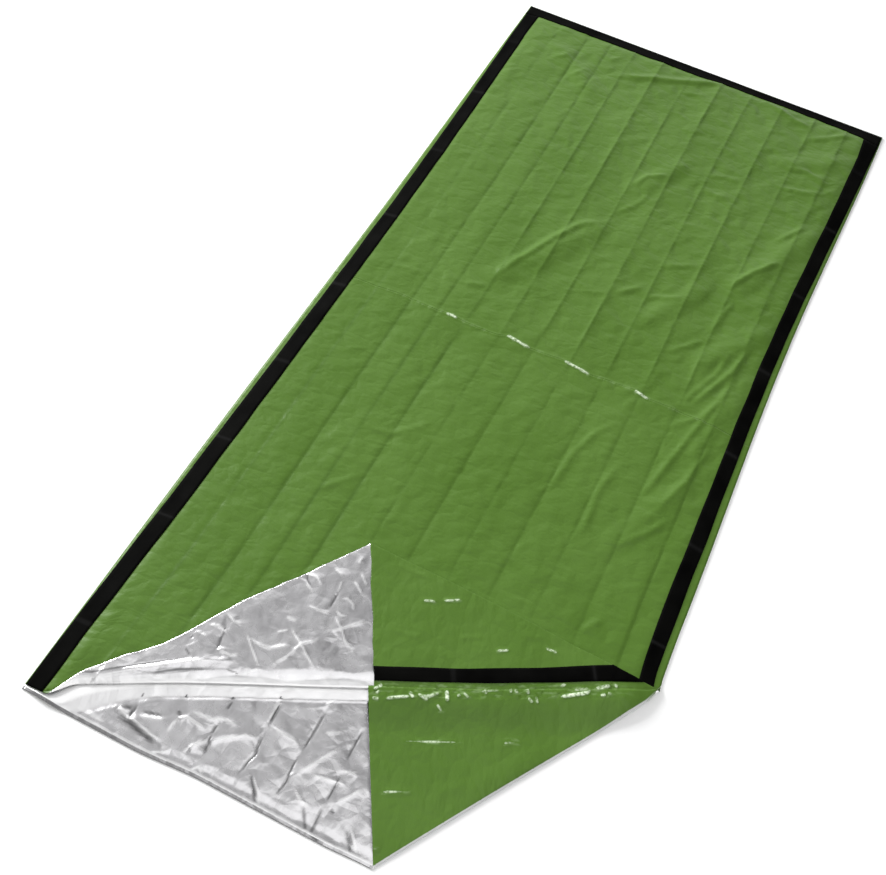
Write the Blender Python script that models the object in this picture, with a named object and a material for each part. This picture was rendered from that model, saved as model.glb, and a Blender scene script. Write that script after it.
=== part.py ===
# Emergency sleeping bag, spread out flat, with the right corner of its mouth folded back.
# Metres, +Z up, the foot at +Y and the mouth at -Y, the origin under the middle of the bag.

import math
from collections import namedtuple

import bmesh
import bpy
from mathutils import Vector

# Driving sizes
BAG_WIDTH = 0.90
BAG_LENGTH = 2.00
FOLD_REACH = 0.478  # along the right side, from the mouth to where the folded corner starts
FILM = 0.0010  # one laminated film, green outside and silver inside
TAPE = 0.0010
GAP = 0.0003  # between pieces that touch
INSIDE = 0.0080  # air between the two films, away from the seams
SEAM_REACH = 0.080  # the upper film comes down to the seam over this width

# The folded corner: the turn of each fold is a half circle about a centre this high over the film
ROLL_CENTRE = 0.0030  # the upper film, turned back at the mouth
TIP_CENTRE = 0.0014  # its tip, turned forward again
WRAP_CENTRE = 0.0042  # the lower film, wrapped up round the side
ROLL_STEPS = 6
TIP_STEPS = 4
LEFT_TURN_INSET = 0.044  # from the left side to where the roll begins
ROLL_SHIFT = 0.008  # the upper film turns this much nearer the mouth than the seam line
SEAM_BUTT = 0.00025  # half the gap between the two films where the opened seam lies flat
FLAP_LOW = 0.0018  # underside of the lower film's flap, where it lies on the film below
FLAP_LEDGE = 0.009  # the flap stays at the seam's height this far, then comes down
FLAP_SLOPE = 0.065
ROLL_FLAT = 0.12  # share of the roll's air that is left where the turned film lies down
ROLL_FULL = 0.85
ROLL_FADE = 0.085  # how far from the roll the turned film has come down
CORNER_FADE = 0.30  # how far from the left corner the roll is at full height
TAPE_STACK = 0.100  # two layers of tape lie in the fold this close to the right side
STACK_SPARE = 0.00005

# Accordion creases left by the packing, from left to right, and the crease across the middle
CREASES = (-0.352, -0.278, -0.220, -0.162, -0.089, -0.017, 0.058, 0.133, 0.211, 0.289, 0.367)
CREASE_RISE = 0.0012
CROSS_CREASE = 0.010
CROSS_RISE = 0.0016
CROSS_HALF = 0.012

# Creases of the lower film where it shows at the mouth
MOUTH_CREASE_RISE = 0.0014
MOUTH_CROSS = -0.883
MOUTH_CROSS_HALF = 0.030
MOUTH_FADE = 0.060  # they come up over this width, from the roll and from the side's turn
MOUTH_CLEAR = 0.012

# Rows that the films are cut along
ROW_STEP = 0.050
FOLD_ROWS = 8  # half-way rows on the right, where the films bend most
FOLD_ROWS_FROM = 0.20
MOUTH_ROWS = -0.45  # the lower film is plain and flat beyond this
PLAIN_ROWS = (-0.20, 0.20, 0.60)

# Tape edges. Each row is a place along the bag, with the green margin outside the tape and the tape's width
TapeRow = namedtuple("TapeRow", "y left_margin left_width right_margin right_width")
TAPE_ROWS = (
    TapeRow(1.000, 0.0015, 0.033, 0.0015, 0.040),
    TapeRow(0.900, 0.0030, 0.032, 0.0030, 0.032),
    TapeRow(0.600, 0.0080, 0.031, 0.0070, 0.029),
    TapeRow(0.200, 0.0110, 0.032, 0.0120, 0.028),
    TapeRow(-0.300, 0.0110, 0.034, 0.0140, 0.029),
    TapeRow(-0.600, 0.0080, 0.034, 0.0130, 0.028),
    TapeRow(-0.850, 0.0020, 0.033, 0.0110, 0.025),
    TapeRow(-1.000, 0.0015, 0.032, 0.0110, 0.025),
)
FOOT_TAPE_WIDTH = 0.034
FOOT_MARGIN = 0.0015

# Where the fold starts on the right side, the upper film's margin is drawn in
DRAWN_IN = 0.012
DRAWN_IN_TOP = 0.030
DRAWN_IN_FOOT = -0.040
DRAWN_IN_SLANT = 0.035
MARGIN_BAND = 0.030  # only this much of the film beside the margin is cut with it

# Loose wrinkles in the upper film: from one point to another, with height and half width
WRINKLE_TAPER = 0.25  # share of its length over which each end fades
Wrinkle = namedtuple("Wrinkle", "x0 y0 x1 y1 height half_width")
WRINKLES = (
    Wrinkle(0.300, 0.360, 0.400, 0.600, 0.0045, 0.040),
    Wrinkle(-0.020, 0.390, -0.160, 0.140, 0.0040, 0.040),
    Wrinkle(0.000, 0.520, 0.080, 0.660, 0.0030, 0.035),
    Wrinkle(0.150, 0.180, 0.240, 0.330, 0.0035, 0.035),
    Wrinkle(0.290, 0.130, 0.400, 0.290, 0.0040, 0.035),
    Wrinkle(0.350, -0.080, 0.390, 0.100, 0.0035, 0.030),
    Wrinkle(0.280, -0.330, 0.370, -0.120, 0.0030, 0.035),
    Wrinkle(-0.320, 0.880, -0.180, 0.760, 0.0030, 0.040),
    Wrinkle(0.270, 0.780, 0.400, 0.860, 0.0035, 0.035),
)

# The sides are drawn in a little between the foot and the fold
WAIST_BOTH = 0.009
WAIST_RIGHT = 0.005
WAIST_START = -0.50
WAVER = 0.003
WAVER_ALONG = 4.1
WAVER_ACROSS = 5.0
WAVER_START = 0.6
WAVER_FADE = 0.20  # the waver fades this close to the mouth and the foot

# The turned corner has slumped towards the roll, most of all along the mouth edge near the left corner
SLUMP = 0.055
SLUMP_BOW = 0.10
SLUMP_BOW_AT = 0.24
SLUMP_BOW_HALF = 0.22

HALF_WIDTH = BAG_WIDTH / 2
HALF_LENGTH = BAG_LENGTH / 2
FOLD_START = -HALF_LENGTH + FOLD_REACH
ROLLED_TOP = 2 * ROLL_CENTRE  # upper side of the turned film, over the film it lies on
TIP_UNDERSIDE = ROLLED_TOP + 2 * (TIP_CENTRE - FILM)

Crease = namedtuple("Crease", "origin away")  # a point on the line, and the way to the side that turns


def smooth(share):
    share = min(max(share, 0.0), 1.0)
    return share * share * (3.0 - 2.0 * share)


def mix(first, second, share):
    return first + (second - first) * share


def crossing(point, direction, other_point, other_direction):
    """Where two lines cross."""
    scale = direction.cross(other_direction)
    along = (other_point - point).cross(other_direction) / scale
    return point + direction * along


def mirrored(vector, direction):
    """A vector, mirrored in a line through the origin."""
    return 2.0 * vector.dot(direction) * direction - vector


def side(point, crease):
    """How far a point lies past a crease."""
    return (point.x - crease.origin.x) * crease.away.x + (point.y - crease.origin.y) * crease.away.y


def crease_through(point, direction, turned_point):
    """The crease along direction whose turned side holds turned_point."""
    away = Vector((direction.y, -direction.x)).normalized()
    if (turned_point - point).dot(away) < 0.0:
        away = -away
    return Crease(point, away)


# Points of the flat bag that the fold is worked out from. The roll begins beside the left tape
LEFT_TURN = Vector((-HALF_WIDTH + LEFT_TURN_INSET, -HALF_LENGTH))
RIGHT_CORNER = Vector((HALF_WIDTH, -HALF_LENGTH))
FOLD_CORNER = Vector((HALF_WIDTH, FOLD_START))
DOWN = Vector((0.0, -1.0))

# The opened seam lies from the fold corner towards the left corner
SEAM_DIRECTION = (LEFT_TURN - FOLD_CORNER).normalized()
SEAM = crease_through(FOLD_CORNER, SEAM_DIRECTION, RIGHT_CORNER)

# The roll along the mouth, and the edge of the upper film as the roll mirrors it
ROLL_END = FOLD_CORNER + DOWN * ROLL_SHIFT
ROLL_DIRECTION = (LEFT_TURN - ROLL_END).normalized()
ROLL = crease_through(ROLL_END, ROLL_DIRECTION, RIGHT_CORNER)
TURNED_EDGE = mirrored(DOWN, ROLL_DIRECTION)

# The tip turns about the line between that edge and the seam
TIP_START = crossing(ROLL_END, TURNED_EDGE, FOLD_CORNER - SEAM.away * SEAM_BUTT, SEAM_DIRECTION)
TIP_DIRECTION = (TURNED_EDGE + SEAM_DIRECTION).normalized()
TIP_FLAT_START = ROLL_END + mirrored(TIP_START - ROLL_END, ROLL_DIRECTION)
TIP = crease_through(TIP_FLAT_START, mirrored(TIP_DIRECTION, ROLL_DIRECTION), RIGHT_CORNER)

# The lower film wraps up about the line between the side and the seam
WRAP_START = FOLD_CORNER + DOWN * (SEAM_BUTT / SEAM_DIRECTION.dot(Vector((-1.0, 0.0))))
WRAP = crease_through(WRAP_START, (DOWN + SEAM_DIRECTION).normalized(), RIGHT_CORNER)


def fold_up(point, crease, centre):
    """Turns what lies past the crease over the rest, round a centre over the film's underside."""
    bend = centre - FILM / 2
    past = side(point, crease)
    turned = (past + math.pi * bend / 2) / bend
    if turned <= 0.0:
        return point
    if turned >= math.pi:
        reach = -past
        height = 2 * centre - point.z
    else:
        reach = -math.pi * bend / 2 + (centre - point.z) * math.sin(turned)
        height = centre - (centre - point.z) * math.cos(turned)
    shift = crease.away * (reach - past)
    return Vector((point.x + shift.x, point.y + shift.y, height))


def fold_down(point, crease, centre):
    """The same, under the film, with the centre measured down from its upper side."""
    turned = fold_up(Vector((point.x, point.y, FILM - point.z)), crease, centre)
    turned.z = FILM - turned.z
    return turned


def crease_rise(x):
    """Height of the zigzag between the accordion creases, up at every second one."""
    before = [i for i, at in enumerate(CREASES) if at <= x]
    if not before or before[-1] == len(CREASES) - 1:
        return 0.0
    left = before[-1]
    share = (x - CREASES[left]) / (CREASES[left + 1] - CREASES[left])
    return mix((-1.0) ** left, (-1.0) ** (left + 1), share)


def wrinkle_rise(x, y):
    """Height of the loose wrinkles at a point."""
    total = 0.0
    for wrinkle in WRINKLES:
        start = Vector((wrinkle.x0, wrinkle.y0))
        run = Vector((wrinkle.x1, wrinkle.y1)) - start
        away = Vector((x, y)) - start
        along = away.dot(run) / run.length_squared
        across = (away - run * along).length
        ends = smooth(min(along, 1.0 - along) / WRINKLE_TAPER + 0.5)
        total += wrinkle.height * ends * (1.0 - smooth(across / wrinkle.half_width))
    return total


def upper_base(x, y):
    """Underside of the upper film: down on the lower film at the seams, and up between them."""
    from_sides = smooth((x + HALF_WIDTH) / SEAM_REACH) * smooth((HALF_WIDTH - x) / SEAM_REACH)
    inside = from_sides * smooth((HALF_LENGTH - y) / SEAM_REACH)
    cross = CROSS_RISE * (1.0 - smooth(abs(y - CROSS_CREASE) / CROSS_HALF))
    relief = CREASE_RISE * crease_rise(x) + cross + wrinkle_rise(x, y)
    return FILM + GAP + (INSIDE + relief) * inside


def roll_air(x, y):
    """Share of the roll's air that is left at a point of the turned corner."""
    height = max(-side(Vector((x, y)), ROLL), 0.0)
    from_left = (Vector((x, y)) - LEFT_TURN).length
    full = mix(ROLL_FLAT, ROLL_FULL, smooth(from_left / CORNER_FADE))
    return mix(full, ROLL_FLAT, smooth(height / ROLL_FADE))


def settled(x, y, z):
    """Height over the floor of a point of the folded upper film, once the folds have sunk."""
    from_right = (Vector((x, y)) - FOLD_CORNER).length
    taped = FILM + GAP + TAPE
    stack = mix(taped, FILM, smooth((from_right - TAPE_STACK) / TAPE_STACK)) + STACK_SPARE
    air = ROLLED_TOP - 2 * stack
    share = mix(1.0, roll_air(x, y), smooth((from_right - TAPE_STACK / 2) / TAPE_STACK))
    if z > stack:
        z = stack + (z - stack) * share if z < stack + air else z - air * (1.0 - share)
    return upper_base(x, y) + z


def slumped(point):
    """The turned corner, drawn a little towards the roll."""
    height = -side(point, ROLL)
    if height <= 0.0:
        return point
    along = (Vector((point.x, point.y)) - LEFT_TURN).dot(-ROLL_DIRECTION)
    bow = 1.0 - smooth(abs(along - SLUMP_BOW_AT) / SLUMP_BOW_HALF)
    drop = ROLL.away * height * (SLUMP + SLUMP_BOW * bow)
    return Vector((point.x + drop.x, point.y + drop.y, point.z))


def outline(point):
    """The drawn-in sides and the slight waver of the creases."""
    across = point.x / HALF_WIDTH
    reach = (point.y - WAIST_START) / (HALF_LENGTH - WAIST_START)
    waist = math.sin(math.pi * reach) ** 2 if 0.0 < reach < 1.0 else 0.0
    drawn = waist * (WAIST_BOTH * across + WAIST_RIGHT * across * across)
    wave = math.sin(WAVER_ALONG * point.y + WAVER_ACROSS * point.x + WAVER_START)
    ends = smooth((HALF_LENGTH - abs(point.y)) / WAVER_FADE)
    waver = WAVER * (1.0 - across * across) * wave * ends
    return Vector((point.x - drawn + waver, point.y, point.z))


def lay_upper(point):
    """From the flat upper film, or the tape on it, to its place."""
    folded = fold_up(fold_down(point, TIP, TIP_CENTRE), ROLL, ROLL_CENTRE)
    start = -math.pi * (ROLL_CENTRE - FILM / 2) / 2
    if side(point, ROLL) <= start:
        height = upper_base(folded.x, folded.y) + folded.z
        return outline(Vector((folded.x, folded.y, height)))
    folded = Vector((folded.x, folded.y, settled(folded.x, folded.y, folded.z)))
    if side(point, ROLL) >= -start:
        folded = slumped(folded)
    return outline(folded)


def mouth_rise(x, y):
    """Creases of the lower film where it shows at the mouth."""
    point = Vector((x, y))
    from_roll = smooth(side(point, ROLL) / MOUTH_FADE)
    from_turn = smooth((-side(point, WRAP) - MOUTH_CLEAR) / MOUTH_FADE)
    cross = 1.0 - smooth(abs(y - MOUTH_CROSS) / MOUTH_CROSS_HALF)
    return MOUTH_CREASE_RISE * from_roll * from_turn * max(0.5 + 0.5 * crease_rise(x), cross)


def flap_underside(x, y):
    """Height of the lower film's flap: at the seam it meets the tip, then it comes down."""
    below_seam = max(side(Vector((x, y)), SEAM), 0.0)
    at_seam = settled(x, y, TIP_UNDERSIDE)
    return mix(at_seam, FLAP_LOW, smooth((below_seam - FLAP_LEDGE) / FLAP_SLOPE))


def lay_lower(point):
    """From the flat lower film to its place."""
    folded = fold_up(point, WRAP, WRAP_CENTRE)
    if side(point, WRAP) <= -math.pi * (WRAP_CENTRE - FILM / 2) / 2:
        return outline(Vector((folded.x, folded.y, folded.z + mouth_rise(folded.x, folded.y))))
    underside = flap_underside(folded.x, folded.y)
    folded = slumped(folded)
    turned_underside = 2 * WRAP_CENTRE - FILM
    if folded.z >= turned_underside:
        height = underside + folded.z - turned_underside
    elif folded.z > FILM:
        share = (folded.z - FILM) / (turned_underside - FILM)
        height = mix(FILM, underside, share)
    else:
        height = folded.z
    return outline(Vector((folded.x, folded.y, height)))


def cut(mesh, origin, normal, faces=None):
    """Cuts the flat sheet along a line, all of it or these faces only."""
    faces = mesh.faces[:] if faces is None else faces
    edges = {edge for face in faces for edge in face.edges}
    verts = {vert for face in faces for vert in face.verts}
    bmesh.ops.bisect_plane(
        mesh,
        geom=[*verts, *edges, *faces],
        dist=1e-6,
        plane_co=(origin[0], origin[1], 0.0),
        plane_no=(normal[0], normal[1], 0.0),
    )


def between(mesh, low, high):
    """Faces whose middle lies between two places along the bag."""
    return [face for face in mesh.faces if low < face.calc_center_median().y < high]


def flat_sheet(columns, rows):
    """A flat rectangle of the bag's size, cut along these columns and rows."""
    mesh = bmesh.new()
    bmesh.ops.create_grid(mesh, x_segments=1, y_segments=1, size=1.0)
    bmesh.ops.scale(mesh, vec=(HALF_WIDTH, HALF_LENGTH, 1.0), verts=mesh.verts[:])
    for row in rows:
        cut(mesh, (0.0, row), (0.0, 1.0))
    for column in columns:
        cut(mesh, (column, 0.0), (1.0, 0.0))
    return mesh


def cut_turn(mesh, crease, centre, steps):
    """Lines along a fold, close enough to bend the film round its turn."""
    bend = centre - FILM / 2
    for step in range(steps + 1):
        offset = math.pi * bend * (step / steps - 0.5)
        cut(mesh, crease.origin + crease.away * offset, crease.away)


def cut_tape_edges(mesh):
    """Slanting lines along both sides, where the tape's edges lie."""
    for upper, lower in zip(TAPE_ROWS, TAPE_ROWS[1:]):
        ends = (
            (tape_left(upper)[0], tape_left(lower)[0]),
            (tape_left(upper)[1], tape_left(lower)[1]),
            (tape_right(upper)[0], tape_right(lower)[0]),
            (tape_right(upper)[1], tape_right(lower)[1]),
        )
        for upper_x, lower_x in ends:
            run = Vector((lower_x - upper_x, lower.y - upper.y))
            cut(mesh, (upper_x, upper.y), (run.y, -run.x), between(mesh, lower.y, upper.y))


def tape_left(row):
    """Outer and inner edge of the left tape."""
    outer = -HALF_WIDTH + row.left_margin
    return outer, outer + row.left_width


def tape_right(row):
    outer = HALF_WIDTH - row.right_margin
    return outer, outer - row.right_width


def tape_edges_at(y, ends):
    """The two edges of a side tape at a place along the bag."""
    for upper, lower in zip(TAPE_ROWS, TAPE_ROWS[1:]):
        if lower.y <= y <= upper.y:
            share = (upper.y - y) / (upper.y - lower.y)
            return [mix(a, b, share) for a, b in zip(ends(upper), ends(lower))]
    return ends(TAPE_ROWS[0])


def cut_fold_rows(mesh):
    """Half-way rows past the start of the folded corner."""
    for step in range(FOLD_ROWS):
        low = -HALF_LENGTH + (2 + step) * ROW_STEP
        near = [f for f in between(mesh, low, low + ROW_STEP) if f.calc_center_median().x > FOLD_ROWS_FROM]
        cut(mesh, (0.0, low + ROW_STEP / 2), (0.0, 1.0), near)


def upper_flat():
    """The upper film, flat, with all its cut lines."""
    middles = [(a + b) / 2 for a, b in zip(CREASES, CREASES[1:])]
    count = round(BAG_LENGTH / ROW_STEP)
    rows = {round(-HALF_LENGTH + i * ROW_STEP, 4) for i in range(1, count)}
    rows |= {CROSS_CREASE - CROSS_HALF, CROSS_CREASE, CROSS_CREASE + CROSS_HALF}
    rows |= {HALF_LENGTH - FOOT_MARGIN, HALF_LENGTH - FOOT_MARGIN - FOOT_TAPE_WIDTH}
    mesh = flat_sheet([*CREASES, *middles], sorted(rows))
    cut_fold_rows(mesh)
    cut_tape_edges(mesh)
    cut_turn(mesh, ROLL, ROLL_CENTRE, ROLL_STEPS)
    cut_turn(mesh, TIP, TIP_CENTRE, TIP_STEPS)
    side_ends = HALF_LENGTH - FOOT_MARGIN - FOOT_TAPE_WIDTH - GAP
    cut(mesh, (0.0, side_ends), (0.0, 1.0), between(mesh, side_ends - ROW_STEP, side_ends + GAP))
    for inset in (FOOT_MARGIN, BAG_WIDTH - FOOT_MARGIN):
        faces = between(mesh, HALF_LENGTH - FOOT_MARGIN - FOOT_TAPE_WIDTH, HALF_LENGTH)
        cut(mesh, (-HALF_WIDTH + inset, 0.0), (1.0, 0.0), faces)
    return mesh


def draw_in_margin(mesh):
    """Cuts the upper film's margin back where the fold starts."""
    inner = HALF_WIDTH - DRAWN_IN
    top = FOLD_START + DRAWN_IN_TOP
    foot = FOLD_START + DRAWN_IN_FOOT

    def margin():
        near = between(mesh, foot - DRAWN_IN_SLANT, top + DRAWN_IN_SLANT)
        return [face for face in near if face.calc_center_median().x > inner - MARGIN_BAND]

    cut(mesh, (inner, 0.0), (1.0, 0.0), margin())
    cut(mesh, (inner, top), (-DRAWN_IN_SLANT, DRAWN_IN), margin())
    cut(mesh, (inner, foot), (DRAWN_IN_SLANT, DRAWN_IN), margin())
    cut_off = []
    for face in mesh.faces:
        middle = face.calc_center_median()
        over_top = (middle.y - top) * DRAWN_IN - (middle.x - inner) * DRAWN_IN_SLANT
        under_foot = (foot - middle.y) * DRAWN_IN - (middle.x - inner) * DRAWN_IN_SLANT
        if middle.x > inner and over_top < 0.0 and under_foot < 0.0:
            cut_off.append(face)
    bmesh.ops.delete(mesh, geom=cut_off, context="FACES")


def lower_flat():
    """The lower film, flat, with fine rows only where it shows or turns."""
    count = round((MOUTH_ROWS + HALF_LENGTH) / ROW_STEP)
    rows = [-HALF_LENGTH + i * ROW_STEP for i in range(1, count)]
    mesh = flat_sheet(CREASES, sorted([*rows, MOUTH_CROSS, *PLAIN_ROWS]))
    cut_fold_rows(mesh)
    cut_turn(mesh, WRAP, WRAP_CENTRE, ROLL_STEPS)
    for share in (0.0, 0.5, 1.0):
        offset = FLAP_LEDGE + FLAP_SLOPE * share
        from_wrap = SEAM.origin + SEAM.away * offset - WRAP.origin
        along_wrap = Vector((WRAP.away.y, -WRAP.away.x))
        flat = WRAP.origin + mirrored(from_wrap, along_wrap)
        direction = mirrored(SEAM_DIRECTION, along_wrap)
        turned = [f for f in mesh.faces if side(f.calc_center_median(), WRAP) > 0.0]
        cut(mesh, flat, (direction.y, -direction.x), turned)
    return mesh


def closed_sheet(mesh, underside, thickness):
    """Gives the flat sheet its thickness. The faces of its upper side get material 1."""
    bmesh.ops.triangulate(mesh, faces=mesh.faces[:])
    for vert in mesh.verts:
        vert.co.z = underside
    raised = bmesh.ops.extrude_face_region(mesh, geom=mesh.faces[:])["geom"]
    for item in raised:
        if isinstance(item, bmesh.types.BMVert):
            item.co.z = underside + thickness
        if isinstance(item, bmesh.types.BMFace):
            item.material_index = 1
    bmesh.ops.recalc_face_normals(mesh, faces=mesh.faces[:])


def film_material(name, colour, metallic, roughness):
    material = bpy.data.materials.new(name)
    material.use_nodes = True
    surface = material.node_tree.nodes["Principled BSDF"]
    surface.inputs["Base Color"].default_value = (*colour, 1.0)
    surface.inputs["Metallic"].default_value = metallic
    surface.inputs["Roughness"].default_value = roughness
    return material


def add_object(name, mesh, lay, materials):
    """Lays a flat sheet in place and makes it an object. The materials are for its lower and upper side."""
    for vert in mesh.verts:
        vert.co = lay(vert.co.copy())
    data = bpy.data.meshes.new(name)
    mesh.to_mesh(data)
    mesh.free()
    for material in materials:
        data.materials.append(material)
    data.shade_smooth()
    data.set_sharp_from_angle(angle=math.radians(40))
    made = bpy.data.objects.new(name, data)
    bpy.context.scene.collection.objects.link(made)
    return made


def keep_faces(mesh, wanted):
    """Deletes the faces whose middle isn't wanted."""
    bmesh.ops.delete(
        mesh,
        geom=[face for face in mesh.faces if not wanted(face.calc_center_median())],
        context="FACES",
    )


def in_side_tape(ends):
    """A test for faces of one side tape, which stops short of the foot tape."""
    end = HALF_LENGTH - FOOT_MARGIN - FOOT_TAPE_WIDTH - GAP

    def wanted(middle):
        edges = sorted(tape_edges_at(middle.y, ends))
        return edges[0] < middle.x < edges[1] and middle.y < end

    return wanted


def in_foot_tape(middle):
    end = HALF_LENGTH - FOOT_MARGIN
    return end - FOOT_TAPE_WIDTH < middle.y < end and abs(middle.x) < HALF_WIDTH - FOOT_MARGIN


def add_tape(name, wanted, material):
    mesh = upper_flat()
    keep_faces(mesh, wanted)
    closed_sheet(mesh, FILM + GAP, TAPE)
    return add_object(name, mesh, lay_upper, [material, material])


def build():
    for old in list(bpy.data.objects):
        bpy.data.objects.remove(old, do_unlink=True)
    green = film_material("green film", (0.10, 0.22, 0.04), 0.0, 0.35)
    silver = film_material("silver film", (0.78, 0.78, 0.79), 1.0, 0.22)
    black = film_material("black tape", (0.012, 0.012, 0.013), 0.0, 0.6)

    lower = lower_flat()
    closed_sheet(lower, 0.0, FILM)
    add_object("bottom_panel", lower, lay_lower, [green, silver])

    upper = upper_flat()
    draw_in_margin(upper)
    closed_sheet(upper, 0.0, FILM)
    add_object("top_panel", upper, lay_upper, [silver, green])

    add_tape("left_tape", in_side_tape(tape_left), black)
    add_tape("right_tape", in_side_tape(tape_right), black)
    add_tape("foot_tape", in_foot_tape, black)


build()
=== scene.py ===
# Emergency sleeping bag, spread out flat with one corner of its mouth folded back.
# Metres in the frame's own axes: +Y runs from the mouth to the foot, +X to the right, +Z up.
# The lists of folds and creases are in millimetres on the floor and were placed one by one.
import math
import random

import bmesh
import bpy
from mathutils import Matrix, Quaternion, Vector, geometry, noise
from mathutils.bvhtree import BVHTree


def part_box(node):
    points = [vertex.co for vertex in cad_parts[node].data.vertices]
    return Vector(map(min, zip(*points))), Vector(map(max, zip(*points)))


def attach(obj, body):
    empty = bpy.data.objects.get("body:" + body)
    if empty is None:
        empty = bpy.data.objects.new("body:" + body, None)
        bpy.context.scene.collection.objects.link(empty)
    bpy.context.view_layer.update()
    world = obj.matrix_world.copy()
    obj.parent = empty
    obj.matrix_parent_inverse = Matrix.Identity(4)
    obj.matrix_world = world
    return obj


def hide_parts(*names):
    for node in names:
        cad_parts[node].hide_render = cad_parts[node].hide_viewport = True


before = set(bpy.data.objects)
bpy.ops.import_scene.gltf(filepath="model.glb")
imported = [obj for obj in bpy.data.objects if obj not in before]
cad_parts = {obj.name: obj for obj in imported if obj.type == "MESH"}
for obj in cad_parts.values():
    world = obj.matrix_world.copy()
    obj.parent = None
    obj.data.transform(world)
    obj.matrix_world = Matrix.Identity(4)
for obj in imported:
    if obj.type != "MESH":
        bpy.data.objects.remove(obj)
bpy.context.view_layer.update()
print("frame loaded:", len(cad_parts), "nodes")

millimetre = 0.001
panelLow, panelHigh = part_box("bottom_panel")

bag = {
    "halfWidth": round(-panelLow.x, 3),
    "halfLength": round(panelHigh.y, 3),
    "foldReach": 0.478,  # along the right side, from the mouth to where the folded corner starts
    "film": 0.0010,  # the frame's film and tape, which the folds are worked out for
    "tape": 0.0010,
    "gap": 0.0003,
    "inside": 0.0080,  # air between the two films
    "seamReach": 0.054,  # the upper film comes down to the seam over this width
    "drawnFilm": 0.0007,
    "drawnTape": 0.0008,
}
halfWidth, halfLength, film = bag["halfWidth"], bag["halfLength"], bag["film"]

# The folded corner, as in the frame: each fold turns round a centre this high over the film
fold = {
    "rollCentre": 0.0030,
    "tipCentre": 0.0014,
    "wrapCentre": 0.0042,
    "leftTurnInset": 0.044,  # the roll starts this far from the left corner of the mouth
    "rollShift": 0.008,  # and ends this far below the end of the seam
    "seamButt": 0.00025,
    "flapLow": 0.0024,  # height of the flap's underside away from the seam, and at the mouth edge
    "flapPressed": 0.0011,
    "pressedReach": 0.05,
    "flapLedge": 0.009,  # from the seam the flap stays up this far, and then slopes down
    "flapSlope": 0.065,
    "rollFlat": 0.12,  # share of the air in the roll that is left at its left end, and further on
    "rollFull": 0.85,
    "rollFade": 0.085,
    "cornerFade": 0.30,
    "tapeStack": 0.100,  # the tape lies doubled this far from the right corner
    "stackSpare": 0.00005,
    "slump": 0.050,  # the turned corner reaches up this much less, and still less at a bow
    "slumpBow": 0.20,
    "slumpBowAt": 0.155,
    "slumpBowHalf": 0.15,
    "sagSlope": 0.165,  # the roll sinks onto the lower film along the mouth, in a sloping band
    "sagStart": 0.010,  # width of the band at the left corner and further on
    "sagWidth": 0.027,
    "sagSpread": 0.30,
    "sagEnds": (0.06, 0.05, 0.12),  # length it grows over, and where and how it ends at the right corner
    "pinch": 0.0030,  # and the whole edge settles by this much over a wider strip
    "pinchWidth": 0.075,
    "bandRise": 0.0034,  # the lower film rises to meet it
    "bandShare": 0.45,  # at most this share of the air between the films
    "bandWidth": 0.019,
    "bandUnder": (0.012, 0.022),  # how far it stays up under the roll, and fades
    # painted reflection: how pale the turned corner's band, the lower film's band and the roll are painted
    "cornerBandLit": 0.45,
    "bandPale": (0.002, 0.006),
    "bandLit": 0.75,
    "bandEdge": 0.004,
    "bandEnds": (0.01, 0.03),
    "rollLit": 1.5,
    "rollStrip": (0.007, 0.005),  # the palest strip of the lower film, beside the roll, a painted reflection
    "turnedLift": 0.0012,  # the turned film lies this much looser than the solid
    "liftReach": 0.030,
    "liftClear": 0.1,
}

# Outline: the sides are drawn in between the foot and the fold, and the creases waver
shape = {
    "waistBoth": 0.009,
    "waistRight": 0.005,
    "waistStart": -0.50,
    "waver": 0.003,
    "waverAlong": 4.1,
    "waverAcross": 5.0,
    "waverStart": 0.6,
    "waverFade": 0.20,
    "rollLift": 0.016,  # the folded corner lies this much further in near its left end
    "liftStart": -0.412,
    "liftGrow": 0.045,
    "liftFrom": 0.15,
    "liftFade": 0.42,
    "liftInward": (0.05, 0.25),
    "liftOutward": 0.42,
    "liftLeast": 0.004,
}

# The folded corner and the mouth edge lie a little fuller than straight folds would: each bow has a reach,
# where it starts and over what length, and where it ends and over what length
pull = {
    "seamBow": 0.0095,
    "seamFrom": (-0.06, 0.10),
    "seamTo": (0.24, 0.28),
    "seamInward": (0.03, 0.13),
    "sideBow": 0.0075,
    "sideFrom": (-0.02, 0.06),
    "sideTo": (0.05, 0.30),
    "sideInward": 0.09,
    "mouthBow": 0.011,  # the mouth edge of the lower film
    "mouthStart": 0.75,
    "mouthFrom": (-0.45, 0.07),
    "mouthEases": (-0.25, 0.13),
    "mouthRest": 0.35,
    "mouthTo": (0.08, 0.09),
    "mouthInward": 0.07,
}


def smooth(share):
    share = min(max(share, 0.0), 1.0)
    return share * share * (3.0 - 2.0 * share)


def over(value, stretch):
    # rises from 0 to 1 from this value on, over this length
    start, length = stretch
    return smooth((value - start) / length)


def mix(first, second, share):
    return first + (second - first) * share


def mirrored(vector, direction):
    return 2.0 * vector.dot(direction) * direction - vector


def crossing(point, direction, otherPoint, otherDirection):
    along = (otherPoint - point).cross(otherDirection) / direction.cross(otherDirection)
    return point + direction * along


def creaseThrough(point, direction, turnedPoint):
    # a line, and the way to the side that turns
    away = Vector((direction.y, -direction.x)).normalized()
    if (turnedPoint - point).dot(away) < 0.0:
        away = -away
    return {"origin": point, "away": away}


def side(point, crease):
    origin, away = crease["origin"], crease["away"]
    return (point[0] - origin.x) * away.x + (point[1] - origin.y) * away.y


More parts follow.
